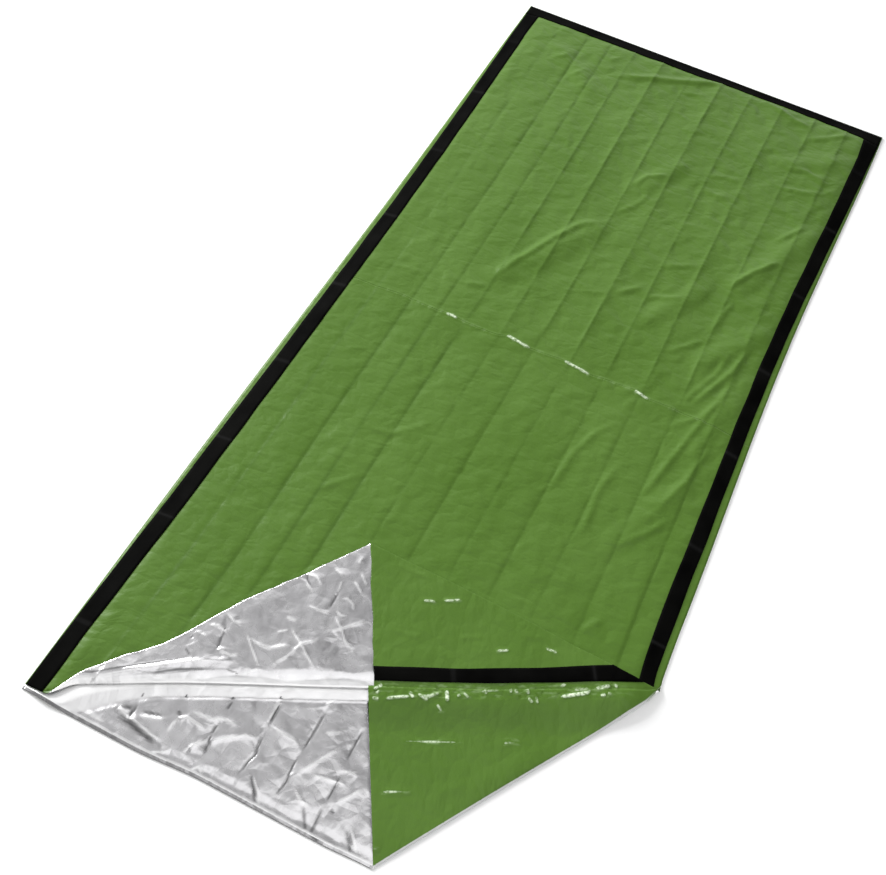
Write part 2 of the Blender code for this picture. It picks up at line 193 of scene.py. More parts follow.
# Lines of the folds on the flat bag
down = Vector((0.0, -1.0))
leftTurn = Vector((-halfWidth + fold["leftTurnInset"], -halfLength))
rightCorner = Vector((halfWidth, -halfLength))
foldCorner = Vector((halfWidth, -halfLength + bag["foldReach"]))
seamDirection = (leftTurn - foldCorner).normalized()
seamLine = creaseThrough(foldCorner, seamDirection, rightCorner)
rollEnd = foldCorner + down * fold["rollShift"]
rollDirection = (leftTurn - rollEnd).normalized()
rollLine = creaseThrough(rollEnd, rollDirection, rightCorner)
turnedEdge = mirrored(down, rollDirection)
tipStart = crossing(rollEnd, turnedEdge, foldCorner - seamLine["away"] * fold["seamButt"], seamDirection)
tipDirection = (turnedEdge + seamDirection).normalized()
tipFlatStart = rollEnd + mirrored(tipStart - rollEnd, rollDirection)
tipLine = creaseThrough(tipFlatStart, mirrored(tipDirection, rollDirection), rightCorner)
wrapStart = foldCorner + down * (fold["seamButt"] / seamDirection.dot(Vector((-1.0, 0.0))))
wrapDirection = (down + seamDirection).normalized()
wrapLine = creaseThrough(wrapStart, wrapDirection, rightCorner)


def foldUp(point, crease, centre):
    # what lies past the crease turns over the rest, round a half circle
    bend = centre - film / 2
    past = side(point, crease)
    turned = (past + math.pi * bend / 2) / bend
    if turned <= 0.0:
        return point
    if turned >= math.pi:
        reach, height = -past, 2 * centre - point.z
    else:
        reach = -math.pi * bend / 2 + (centre - point.z) * math.sin(turned)
        height = centre - (centre - point.z) * math.cos(turned)
    shift = crease["away"] * (reach - past)
    return Vector((point.x + shift.x, point.y + shift.y, height))


def foldDown(point, crease, centre):
    turned = foldUp(Vector((point.x, point.y, film - point.z)), crease, centre)
    turned.z = film - turned.z
    return turned


def cornerFolded(point):
    # the tip turns down and forward, and then the whole corner turns up round the roll
    return foldUp(foldDown(point, tipLine, fold["tipCentre"]), rollLine, fold["rollCentre"])


def wrapped(point):
    return foldUp(point, wrapLine, fold["wrapCentre"])


def halfTurn(centre):
    # from a fold's line to where the film starts to bend
    return math.pi * (centre - film / 2) / 2


rollReach, tipReach, wrapReach = (halfTurn(fold[name]) for name in ("rollCentre", "tipCentre", "wrapCentre"))


def alongRoll(x, y):
    return (Vector((x, y)) - leftTurn).dot(-rollDirection)


def fromFoldCorner(x, y):
    return (Vector((x, y)) - foldCorner).length


def noiseAt(x, y, z):
    return noise.noise(Vector((x, y, z)))


def wavering(sizes, x, y, z):
    # a factor round this base that wavers by this much
    base, spread = sizes
    return base + spread * noiseAt(x, y, z)


def outline(point):
    across = point.x / halfWidth
    reach = (point.y - shape["waistStart"]) / (halfLength - shape["waistStart"])
    waist = math.sin(math.pi * reach) ** 2 if 0.0 < reach < 1.0 else 0.0
    drawn = waist * (shape["waistBoth"] * across + shape["waistRight"] * across * across)
    wave = math.sin(shape["waverAlong"] * point.y + shape["waverAcross"] * point.x + shape["waverStart"])
    ends = smooth((halfLength - abs(point.y)) / shape["waverFade"])
    waver = shape["waver"] * (1.0 - across * across) * wave * ends
    moved = liftedRoll(point) + pulled(point.to_2d())
    return Vector((point.x - drawn + waver + moved.x, point.y + moved.y, point.z))


def pulled(place):
    # the seam and the folded side lie a little further out
    alongSeam = (place - foldCorner).dot(seamDirection)
    share = over(alongSeam, pull["seamFrom"]) * (1.0 - over(alongSeam, pull["seamTo"]))
    share *= 1.0 - over(-side(place, seamLine), pull["seamInward"])
    total = seamLine["away"] * (pull["seamBow"] * share)
    alongSide = (place - foldCorner).dot(wrapDirection)
    share = over(alongSide, pull["sideFrom"]) * (1.0 - over(alongSide, pull["sideTo"]))
    share *= 1.0 - smooth(-side(place, wrapLine) / pull["sideInward"])
    return total + wrapLine["away"] * (pull["sideBow"] * share)


def bowedMouth(x, y):
    # how far the lower film's mouth edge lies further out
    share = mix(pull["mouthStart"], 1.0, over(x, pull["mouthFrom"]))
    share *= mix(1.0, pull["mouthRest"], over(x, pull["mouthEases"])) * (1.0 - over(x, pull["mouthTo"]))
    return pull["mouthBow"] * share * (1.0 - smooth((y + halfLength) / pull["mouthInward"]))


def unmoved(x, y, bowed):
    # the place, in mm, that the outline moves to this one
    target = Vector((x, y)) * millimetre
    spot = target
    for _ in range(3):
        shift = outline(spot.to_3d()).to_2d() - spot
        if bowed:
            shift.y -= bowedMouth(spot.x, spot.y)
        spot = target - shift
    return spot.x / millimetre, spot.y / millimetre


def unpulled(strokes, bowed=False):
    # strokes are given where they lie in the end, and this takes them back to the unmoved film
    return [(tuple(unmoved(x, y, bowed) for x, y in path), *sizes) for path, *sizes in strokes]


def liftedRoll(point):
    # the folded corner lies further in near its left end
    along, outward = alongRoll(point.x, point.y), side(point, rollLine)
    share = smooth((point.x - shape["liftStart"]) / shape["liftGrow"])
    share *= 1.0 - smooth((along - shape["liftFrom"]) / shape["liftFade"])
    if outward > 0.0:
        share *= 1.0 - smooth(outward / (shape["liftOutward"] * max(along, 0.0) + shape["liftLeast"]))
    else:
        share *= 1.0 - over(-outward, shape["liftInward"])
    return (rollLine["away"] * (-shape["rollLift"] * share)).to_2d()


# A stroke is a fold, ridge or valley along a path: (path, height, left width, right width), all in mm
widestMark = 8
fadesOut = 1.4  # a dot or a pale strip ends at so many times its size
strokeEnd = {"taper": 0.3, "blunt": 0.15}  # it tapers over this share of its length, from a blunt end
facetSpread = {"jitter": 0.45, "clear": 0.4, "endShare": 0.4, "uneven": (0.8, 1.2)}


def strokeBox(stroke):
    path, height, left, right = stroke
    wide = max(left, right, widestMark)
    xs = [x for x, y in path]
    ys = [y for x, y in path]
    return min(xs) - wide, min(ys) - wide, max(xs) + wide, max(ys) + wide


def strokeShare(x, y, path, left, right):
    # 1 on the path, 0 beyond its widths; x and y in mm
    best, share, run = 1e9, 0.0, 0.0
    total = sum(math.dist(a, b) for a, b in zip(path, path[1:]))
    for (ax, ay), (bx, by) in zip(path, path[1:]):
        length = math.dist((ax, ay), (bx, by))
        ux, uy = (bx - ax) / length, (by - ay) / length
        along = min(max((x - ax) * ux + (y - ay) * uy, 0.0), length)
        px, py = x - ax - along * ux, y - ay - along * uy
        distance = math.hypot(px, py)
        if distance < best:
            best = distance
            width = left if ux * py - uy * px > 0.0 else right
            ends = min(run + along, total - run - along) / (strokeEnd["taper"] * total)
            share = max(1.0 - distance / width, 0.0) * smooth(min(ends + strokeEnd["blunt"], 1.0))
        run += length
    return share


def strokesAt(x, y, strokes, sharp=False):
    # total height in metres of the strokes at a place given in metres
    x, y = x / millimetre, y / millimetre
    total = 0.0
    for stroke, (x0, y0, x1, y1) in strokes:
        if x0 < x < x1 and y0 < y < y1:
            path, height, left, right = stroke
            share = strokeShare(x, y, path, left, right)
            total += height * (share if sharp else smooth(share))
    return total * millimetre


def prepared(strokes, thin=1.0):
    scaled = [(path, height * thin, left * thin, right * thin) for path, height, left, right in strokes]
    return [(stroke, strokeBox(stroke)) for stroke in scaled]


def linesAt(x, y, strokes, width):
    # 1 right on a stroke's path, 0 this far from it
    x, y = x / millimetre, y / millimetre
    line = 0.0
    for stroke, (x0, y0, x1, y1) in strokes:
        if x0 < x < x1 and y0 < y < y1:
            line = max(line, smooth(strokeShare(x, y, stroke[0], width, width)))
    return line


def crumpled(look, low, high):
    # a film's facets: the creases are their edges, with scattered points at random heights between them
    rng = random.Random(look["seed"])
    points, heights, edges = [], [], []
    folds = look["ridges"] + look["valleys"]
    if not look.get("flat", False):
        folds = unpulled(folds, look.get("bowed", False))
    for path, height, left, right in folds:
        stops = [path[0]]
        for (ax, ay), (bx, by) in zip(path, path[1:]):
            count = max(round(math.dist((ax, ay), (bx, by)) / look["creaseStep"]), 1)
            stops += [(mix(ax, bx, i / count), mix(ay, by, i / count)) for i in range(1, count + 1)]
        for index, (x, y) in enumerate(stops):
            if index:
                edges.append((len(points) - 1, len(points)))
            end = facetSpread["endShare"] if index in (0, len(stops) - 1) else 1.0
            limit = max(min(height, look["creaseMost"]), -look["creaseMost"])
            points.append(Vector((x, y)))
            heights.append(end * limit * rng.uniform(*facetSpread["uneven"]))
    creases = points[:]
    step, jitter = look["facets"], facetSpread["jitter"]
    for i in range(int((high[0] - low[0]) / step) + 2):
        for j in range(int((high[1] - low[1]) / step) + 2):
            x = low[0] + (i + rng.uniform(-jitter, jitter)) * step
            place = Vector((x, low[1] + (j + rng.uniform(-jitter, jitter)) * step))
            rise = rng.uniform(-look["facetRise"], look["facetRise"])
            if all((place - crease).length > facetSpread["clear"] * step for crease in creases):
                points.append(place)
                heights.append(rise)
    flat = geometry.delaunay_2d_cdt(points, edges, [], 0, 0.01)
    corners = []
    for place, sources in zip(flat[0], flat[3]):
        nearest = sources or [min(range(len(points)), key=lambda k: (points[k] - place).length)]
        corners.append(Vector((place.x, place.y, heights[nearest[0]])) * millimetre)
    return BVHTree.FromPolygons(corners, flat[2])


def facetAt(surface, x, y):
    hit = surface.ray_cast(Vector((x, y, 1.0)), Vector((0.0, 0.0, -1.0)))[0]
    return hit.z if hit else 0.0


# The upper film between the tapes
field = {
    "flat": True,
    "creases": (-352, -278, -219, -160, -87, -14, 61, 136, 214, 292, 370),
    "zigzag": 0.0008,
    "crease": 0.0018,  # each crease stands this much proud of the film, or sinks into it
    "ridgeReach": (0.016, 0.009),  # how far it reaches on its left and its right
    "grooveReach": (0.005, 0.016),
    "groovesTo": -200,  # the creases left of this are grooves up to the foot, and all are towards the mouth
    "mouthRise": -0.75,
    "leftRise": -0.60,
    "creaseFar": 0.08,
    "turnsOver": (0.16, 0.4),  # length over which a groove turns into a ridge, and its share at the middle
    "uneven": (0.85, 0.6),
    "nearCrease": 0.006,  # painted shade darkens the creases this far to each side, most on the left towards the mouth
    "shadeUneven": (0.6, 0.6),
    "shadeLeft": -0.15,
    "shadeFoot": 0.6,
    "shadeRight": 0.3,
    "shadeEnds": 0.1,
    "crest": 0.30,  # a sharper line on top
    "crestWidth": 0.0045,
    "seed": 3,
    "facets": 22,
    "facetRise": 1.30,
    "foldScale": 1.30,
    "foldRidge": 0.4,
    "creaseStep": 34,
    "creaseMost": 0.9,
    "crumple": (0.85, 0.22, 0.25),  # strength of the facets in the middle, and what the right and foot add
    "broadTaper": 0.25,
    # broad wrinkles, which the solid has too: from one point to another, height, half width
    "broad": (
        (300, 360, 400, 600, 4.5, 40),
        (-20, 390, -160, 140, 4.0, 40),
        (0, 520, 80, 660, 3.0, 35),
        (150, 180, 240, 330, 3.5, 35),
        (290, 130, 400, 290, 4.0, 35),
        (350, -80, 390, 100, 3.5, 30),
        (280, -330, 370, -120, 3.0, 35),
        (-320, 880, -180, 760, 3.0, 40),
        (270, 780, 400, 860, 3.5, 35),
    ),
    "folds": (
        (((82, 976), (-33, 918), (-99, 889), (-173, 856)), 3.0, 10, 18),
        (((165, 967), (247, 935), (300, 926)), 2.2, 12, 10),
        (((297, 885), (379, 951)), 2.0, 10, 10),
        (((288, 770), (330, 780), (378, 764)), 2.4, 12, 10),
        (((292, 700), (335, 712), (378, 728)), 2.0, 10, 8),
        (((140, 610), (175, 602), (206, 610)), 1.8, 10, 9),
        (((136, 655), (170, 668), (208, 672)), 1.1, 9, 9),
        (((-2, 545), (14, 578), (53, 603)), 2.4, 9, 9),
        (((-8, 440), (25, 489), (40, 540)), 1.3, 9, 9),
        (((-165, 130), (-148, 185), (-99, 300), (-58, 374), (-14, 402)), 3.0, 13, 10),
        (((288, 366), (317, 423), (363, 483)), 3.2, 10, 8),
        (((330, 531), (379, 613)), 2.0, 9, 9),
        (((291, 236), (300, 300), (308, 330)), 1.4, 9, 9),
        (((140, 349), (206, 384)), 1.7, 9, 9),
        (((140, 250), (206, 285)), 1.7, 9, 9),
        (((74, 226), (124, 276)), 1.5, 9, 9),
        (((0, 193), (66, 218)), 1.3, 9, 9),
        (((222, 135), (288, 203)), 1.3, 9, 9),
        (((313, 36), (363, 152), (379, 234)), 2.4, 8, 8),
        (((290, 20), (330, 120), (350, 200)), 1.6, 8, 8),
        (((-206, 96), (-165, 112)), 1.8, 9, 9),
        (((-206, 902), (-180, 930)), 1.4, 9, 9),
        (((-330, 836), (-290, 870)), 1.3, 9, 9),
        (((-268, 800), (-230, 850)), 1.3, 9, 9),
        (((-8, 885), (45, 905)), 1.1, 9, 9),
        (((0, 815), (30, 800)), 1.0, 8, 8),
        (((296, -206), (317, -107), (345, 10), (372, 120)), 2.4, 9, 9),
        (((329, -222), (363, -124), (380, -30)), 1.9, 8, 8),
        (((288, -33), (338, 16), (360, 70)), 1.5, 8, 8),
        (((228, -340), (222, -222), (236, -150)), 1.5, 9, 9),
        (((140, -272), (150, -170), (170, -110), (206, -66)), 1.5, 9, 9),
        (((288, -321), (330, -272), (360, -222)), 1.5, 9, 9),
        (((296, -496), (321, -458)), 1.6, 8, 8),
        (((-5, -354), (33, -371)), 0.9, 9, 9),
        (((-222, -309), (-165, -303), (-99, -239)), 1.1, 10, 10),
        (((-222, -470), (-165, -404)), 1.0, 10, 10),
        (((-148, -165), (-118, -150)), 0.9, 8, 8),
        (((-140, -90), (-110, -75)), 0.9, 8, 8),
        (((-330, -168), (-296, -150)), 0.9, 8, 8),
        (((-396, 60), (-300, 78), (-262, 70)), 0.9, 8, 8),
        (((-340, -60), (-300, -52)), 0.8, 8, 8),
        (((110, -420), (150, -440)), 0.8, 9, 9),
    ),
    # the crease across the middle, with the stretches that catch the light and carry painted glints
    "cross": (
        (-451, -3), (-405, -2), (-356, 0), (-300, 6), (-222, 4), (-190, 8), (-160, 5),
        (-92, 7), (-70, 16), (-22, 9), (20, 12), (50, 14), (107, 8), (133, 12),
        (198, 16), (231, 10), (300, 12), (405, 9), (451, 8),
    ),
    "crossRise": 1.0,
    "crossWidth": 5,
    "glints": ((-205, -176), (-78, -17), (46, 110), (198, 234)),
    "glintRise": 1.4,
    "glintWidth": 7.5,
    "glintRidge": 4,
    "glintLeast": 0.25,
}
field["ridges"] = tuple(
    (path, field["foldRidge"] * height, *widths) for path, height, *widths in field["folds"]
)
field["valleys"] = tuple((((x, -1000), (x, 1000)), 0.0, 5, 5) for x in field["creases"])
broadFolds = [
    ((Vector((x0, y0)), Vector((x1, y1)) - Vector((x0, y0))), height, half)
    for x0, y0, x1, y1, height, half in field["broad"]
]
fieldFolds = prepared(field["folds"])
crossFold = prepared([(field["cross"], field["crossRise"], field["crossWidth"], field["crossWidth"])])
creaseXs = [x * millimetre for x in field["creases"]]


def zigzagAt(x):
    for index, (left, right) in enumerate(zip(creaseXs, creaseXs[1:])):
        if left <= x < right:
            return mix((-1.0) ** index, (-1.0) ** (index + 1), (x - left) / (right - left))
    return 0.0


def towardsFoot(y):
    length, start = field["turnsOver"]
    return smooth(y / length + start)


def creaseAt(x, y):
    # height of the lengthwise creases, each a ridge or a groove with a sharp line
    total = 0.0
    toFoot = towardsFoot(y)
    for index, crease in enumerate(creaseXs):
        away = x - crease
        if abs(away) < field["creaseFar"]:
            uneven = wavering(field["uneven"], index * 7.0, y * 4.0, 1.0)
            ridge = field["leftRise"] if crease / millimetre < field["groovesTo"] else 1.0
            for rise, reach in (
                (ridge * toFoot, "ridgeReach"), (field["mouthRise"] * (1.0 - toFoot), "grooveReach"),
            ):
                reach = "grooveReach" if rise < 0.0 else reach
                wide = field[reach][0 if away < 0.0 else 1]
                total += rise * uneven * math.exp(-abs(away) / wide)
            line = max(1.0 - abs(away) / field["crestWidth"], 0.0)
            total += field["crest"] * ridge * toFoot * uneven * line
    return field["crease"] * total


def insideShare(x, y):
    reach = bag["seamReach"]
    sides = smooth((x + halfWidth) / reach) * smooth((halfWidth - x) / reach)
    return sides * smooth((halfLength - y) / reach)


def broadAt(x, y):
    total = 0.0
    place, taper = Vector((x, y)) / millimetre, field["broadTaper"]
    for (start, run), height, half in broadFolds:
        away = place - start
        along = away.dot(run) / run.length_squared
        if -taper < along < 1.0 + taper:
            across = (away - run * along).length
            ends = smooth(min(along, 1.0 - along) / taper + 0.5)
            total += height * ends * (1.0 - smooth(across / half))
    return total * millimetre


def filmBase(x, y):
    # underside of the upper film where it lies on the lower one
    rise = bag["inside"] + field["zigzag"] * zigzagAt(x) + broadAt(x, y)
    return film + bag["gap"] + rise * insideShare(x, y)


def sagAt(x, y):
    # how far the roll has sunk, in a sloping band along the mouth
    inward = max(-side((x, y), rollLine), 0.0)
    along = alongRoll(x, y)
    width = mix(fold["sagStart"], fold["sagWidth"], smooth(along / fold["sagSpread"]))
    grow, clear, fade = fold["sagEnds"]
    ends = smooth(along / grow) * smooth((fromFoldCorner(x, y) - clear) / fade)
    inside = filmBase(x, y) - film - bag["gap"]
    room = max(inside - min(fold["bandRise"], fold["bandShare"] * inside), 0.0)
    band = fold["sagSlope"] * width * max(1.0 - inward / width, 0.0)
    return min(band + fold["pinch"] * (1.0 - smooth(inward / fold["pinchWidth"])), room) * ends


def settled(x, y, z):
    # height over the floor of a point of the folded upper film
    fromRight, fromLeft = fromFoldCorner(x, y), (Vector((x, y)) - leftTurn).length
    taped = film + bag["gap"] + bag["tape"]
    stack = mix(taped, film, smooth((fromRight - fold["tapeStack"]) / fold["tapeStack"]))
    stack += fold["stackSpare"]
    air = 2 * fold["rollCentre"] - 2 * stack
    inward = max(-side((x, y), rollLine), 0.0)
    full = mix(fold["rollFlat"], fold["rollFull"], smooth(fromLeft / fold["cornerFade"]))
    left = mix(full, fold["rollFlat"], smooth(inward / fold["rollFade"]))
    share = mix(1.0, left, smooth((fromRight - fold["tapeStack"] / 2) / fold["tapeStack"]))
    if z > stack:
        z = stack + (z - stack) * share if z < stack + air else z - air * (1.0 - share)
    return filmBase(x, y) - sagAt(x, y) + z


def slumped(point):
    # the turned corner reaches up less far than a straight fold would take it
    height = -side(point, rollLine)
    if height <= 0.0:
        return point
    bow = 1.0 - smooth(abs(alongRoll(point.x, point.y) - fold["slumpBowAt"]) / fold["slumpBowHalf"])
    drop = rollLine["away"] * height * (fold["slump"] + fold["slumpBow"] * bow)
    return Vector((point.x + drop.x, point.y + drop.y, point.z))


# The turned corner: the silver side, and the tip that is turned forward again
corner = {
    "seed": 11,
    "facets": 30,  # size and height of the flat facets between the creases
    "facetRise": 1.15,
    "creaseStep": 16,
    "creaseMost": 1.3,
    "lineShare": 0.75,  # the crease's own sharp line, on top of the facets
    "thin": 0.68,
    "ridges": (  # sharp creases, raised, with a painted highlight along each
        (((-23, -651), (-56, -687), (-76, -705)), 1.1, 5, 5),
        (((-82, -668), (-56, -687), (-40, -703), (-8, -717)), 1.0, 5, 5),
        (((-126, -676), (-104, -675), (-83, -672)), 1.3, 7, 6),
        (((-74, -716), (-100, -742), (-109, -771), (-127, -798)), 1.2, 5, 5),
        (((-133, -720), (-118, -732), (-100, -742), (-76, -759), (-54, -772)), 1.1, 5, 5),
        (((-146, -711), (-126, -709)), 1.1, 6, 6),
        (((-182, -771), (-160, -774), (-142, -772), (-121, -756), (-108, -751)), 1.4, 6, 6),
        (((-146, -742), (-130, -728)), 1.0, 6, 6),
        (((-190, -764), (-166, -786), (-139, -808)), 1.0, 5, 5),
        (((-136, -806), (-150, -822), (-166, -838)), 1.2, 6, 5),
        (
            (
                (-384, -961), (-351, -934), (-321, -910), (-289, -884),
                (-251, -857), (-216, -835), (-180, -817),
            ),
            1.8, 9, 6,
        ),
        (((-397, -971), (-350, -938), (-305, -903)), 0.9, 5, 5),
        (((-88, -552), (-88, -568)), 1.0, 6, 6),
        (((-77, -580), (-55, -598)), 1.0, 5, 5),
        (((-79, -600), (-57, -613)), 1.0, 5, 5),
        (((-120, -594), (-99, -600)), 1.0, 6, 6),
        (((-97, -609), (-93, -631)), 0.9, 5, 5),
        (((-158, -624), (-138, -622), (-121, -634)), 1.0, 6, 6),
        (((-150, -640), (-128, -652)), 0.8, 6, 6),
        (((-84, -641), (-73, -634), (-60, -639), (-53, -650)), 0.7, 5, 5),
        (((-58, -662), (-68, -667), (-80, -662)), 0.6, 5, 5),
        (((-178, -801), (-190, -812), (-214, -812)), 0.9, 5, 5),
        (((-250, -782), (-231, -776), (-214, -782)), 1.1, 6, 6),
        (((-262, -800), (-240, -801)), 1.0, 6, 6),
        (((-236, -750), (-216, -758), (-200, -756)), 1.0, 6, 6),
    ),
    "valleys": (  # sharp creases, sunk, with painted shade along each
        (((-224, -768), (-220, -790), (-212, -822)), -1.3, 5, 5),
        (((-405, -970), (-370, -938), (-337, -913), (-294, -881), (-250, -849)), -0.9, 5, 6),
        (((-290, -899), (-251, -871), (-205, -846)), -0.8, 6, 6),
        (((-92, -631), (-91, -665)), -0.8, 5, 5),
        (((-161, -618), (-150, -634), (-136, -644)), -0.9, 5, 5),
        (((-263, -810), (-262, -817)), -1.4, 5, 5),
        (((-402, -968), (-402, -987)), -1.2, 4, 4),
        (((-185, -835), (-160, -832)), -0.8, 5, 5),
        (((-262, -834), (-246, -842)), -0.8, 5, 5),
    ),
    # creases of the tip's green side, which catch the light and carry painted glints
    "tipFolds": (
        (((38, -579), (50, -573), (64, -569)), 1.3, 5, 4),
        (((68, -564), (84, -554), (100, -544)), 1.5, 5, 4),
        (((186, -603), (208, -590)), 1.3, 5, 4),
        (((254, -559), (282, -557)), 1.0, 5, 5),
    ),
    "tipCreases": (
        (((20, -650), (70, -640)), 0.7, 8, 8),
        (((-40, -540), (40, -534)), 0.8, 8, 8),
        (((120, -612), (160, -588)), 0.7, 8, 8),
        (((96, -640), (118, -654)), 0.7, 7, 7),
        (((210, -560), (250, -545)), 0.7, 8, 8),
    ),
    # painted paler: a painted reflection between the roll and the first ridge, and a painted highlight along
    # the free edge near the left end
    "wedge": ((((-352, -962), (-302, -932), (-248, -900), (-190, -862)), 1.0, 20, 20),),
    "wedgeWidth": 17,
    "wedgeLit": 0.4,
    "stripLit": 0.9,
    "stripEdge": 0.017,
    "stripFade": 0.005,
    "rollEdge": 0.003,
    "paleEdge": 7,
    "edgeLit": 0.32,
    "edgeFades": (0.16, 0.12),
    "lineWidth": 3.0,  # drawn width of a crease's painted line, and how dark a valley's painted shade is
    "darkest": 0.7,
    "tipGlint": 5,
    "tipCrumple": 0.8,
    "bandCrumple": 0.12,
    "edgeWaver": 0.0022,
    "edgeReach": 0.03,
    "edgeGrow": 0.04,
    "edgeUneven": (0.75, 0.9),
    "bandClear": (0.022, 0.010),  # the crumple starts this far from the roll, and ends this near the tip
    "tipClear": (-0.004, 0.010),
    "coverFade": 0.012,
    "marginDrop": 0.0006,
    "marginReach": 0.006,
    "edgeDrop": 1.3,  # the free edge curls down over this width
    "edgeWidth": 24,
}
smallCrumple = {
    "seed": 5,
    "ridges": (),
    "valleys": (),
    "facets": 14,
    "facetRise": 0.25,
}
fieldFacets = crumpled(field, (-460, -1010), (460, 1010))
cornerRidges = prepared(unpulled(corner["ridges"]), corner["thin"])
cornerValleys = prepared(unpulled(corner["valleys"]), corner["thin"])
tipFolds = prepared(unpulled(corner["tipFolds"]))
wedge = prepared(unpulled(corner["wedge"]))
tipCreases = prepared(unpulled(corner["tipCreases"]))
cornerFacets = crumpled(corner, (-460, -1040), (470, -500))
smallFacets = crumpled(smallCrumple, (-460, -1040), (470, -500))

# Where the turned corner's own edges lie once it is folded
mouthCorner = slumped(cornerFolded(rightCorner.to_3d()))
tipTop = crossing(leftTurn, mirrored(Vector((1.0, 0.0)), rollDirection), tipStart, tipDirection)
tipTop = slumped(tipTop.to_3d()).to_2d()
tipEdge = creaseThrough(tipTop, (mouthCorner.to_2d() - tipTop).normalized(), foldCorner)
topEdge = creaseThrough(tipTop, (foldCorner - tipTop).normalized(), leftTurn)
leftEdge = creaseThrough(leftTurn, (tipTop - leftTurn).normalized(), foldCorner)
print("folded corner: tip at", [round(v, 3) for v in tipTop])


def coveredShare(x, y):
    # 1 under the turned corner, 0 clear of it
    inward = min(side((x, y), leftEdge), side((x, y), topEdge))
    return smooth((inward + corner["coverFade"]) / corner["coverFade"])


def alongGlint(x, stretch):
    # 1 in the middle of a stretch that catches the light, 0 at its ends
    start, end = stretch
    return 1.0 - abs(2.0 * (x / millimetre - start) / (end - start) - 1.0)


def fieldRelief(x, y):
    # x and y on the flat film
    crumple, byX, byY = field["crumple"]
    strong = crumple + byX * x / halfWidth + byY * y / halfLength
    rise = strong * facetAt(fieldFacets, x, y) + creaseAt(x, y)
    rise += field["foldScale"] * strokesAt(x, y, fieldFolds, True) + strokesAt(x, y, crossFold, True)
    for stretch in field["glints"]:
        if stretch[0] < x / millimetre < stretch[1]:
            share = smooth(alongGlint(x, stretch) * 2.0)
            rise += field["glintRise"] * millimetre * share * linesAt(x, y, crossFold, field["glintRidge"])
    return rise


def silverRelief(x, y):
    # x and y on the floor; the silver side of the turned corner
    band = max(-side((x, y), rollLine), 0.0)
    calm = mix(corner["bandCrumple"], 1.0, over(band, corner["bandClear"]))
    under = 1.0 - over(side((x, y), tipEdge), corner["tipClear"])
    lines = strokesAt(x, y, cornerRidges, True) + strokesAt(x, y, cornerValleys, True)
    rise = facetAt(cornerFacets, x, y) + facetAt(smallFacets, x, y) + corner["lineShare"] * lines
    fromEdge = side((x, y), leftEdge) / millimetre / corner["edgeWidth"]
    if fromEdge < 1.0:
        uneven = wavering(corner["edgeUneven"], x * 14.0, y * 14.0, 9.0)
        rise -= corner["edgeDrop"] * millimetre * (1.0 - max(fromEdge, 0.0)) * uneven
    return rise * calm * under


def waveredEdge(point, past):
    # the free edge of the turned corner isn't straight
    fromEdge = point.y + halfLength
    if past <= rollReach or fromEdge >= corner["edgeReach"]:
        return point
    wave = noiseAt(point.x * 17.0, 3.0, 1.0) + 0.5 * noiseAt(point.x * 45.0, 6.0, 1.0)
    waved = corner["edgeWaver"] * (wave + 0.6) * (1.0 - smooth(fromEdge / corner["edgeReach"]))
    return Vector((point.x, point.y + waved * smooth((past - rollReach) / corner["edgeGrow"]), point.z))


def layUpper(point):
    # from the flat upper film, or the tape on it, to its place
    past = side(point, rollLine)
    point = waveredEdge(point, past)
    folded = cornerFolded(point)
    if past <= -rollReach:
        height = filmBase(folded.x, folded.y) - sagAt(folded.x, folded.y) + folded.z
        covered = coveredShare(folded.x, folded.y)
        if covered < 1.0:
            height += fieldRelief(point.x, point.y) * insideShare(folded.x, folded.y) * (1.0 - covered)
        return outline(Vector((folded.x, folded.y, height)))
    height = settled(folded.x, folded.y, folded.z)
    if past >= rollReach:
        inward = max(-side(folded, rollLine), 0.0)
        clear = smooth(fromFoldCorner(folded.x, folded.y) / fold["liftClear"] - 0.5)
        height += fold["turnedLift"] * smooth(inward / fold["liftReach"]) * clear
        folded = slumped(folded)
        if side(point, tipLine) < tipReach:
            height += silverRelief(folded.x, folded.y)
        else:
            height += strokesAt(folded.x, folded.y, tipFolds, True) + marginRelief(folded.x, folded.y)
            height += strokesAt(folded.x, folded.y, tipCreases)
            height -= corner["marginDrop"] * (1.0 - smooth((halfWidth - point.x) / corner["marginReach"]))
            height += facetAt(smallFacets, folded.x, folded.y) * corner["tipCrumple"]
    return outline(Vector((folded.x, folded.y, height)))


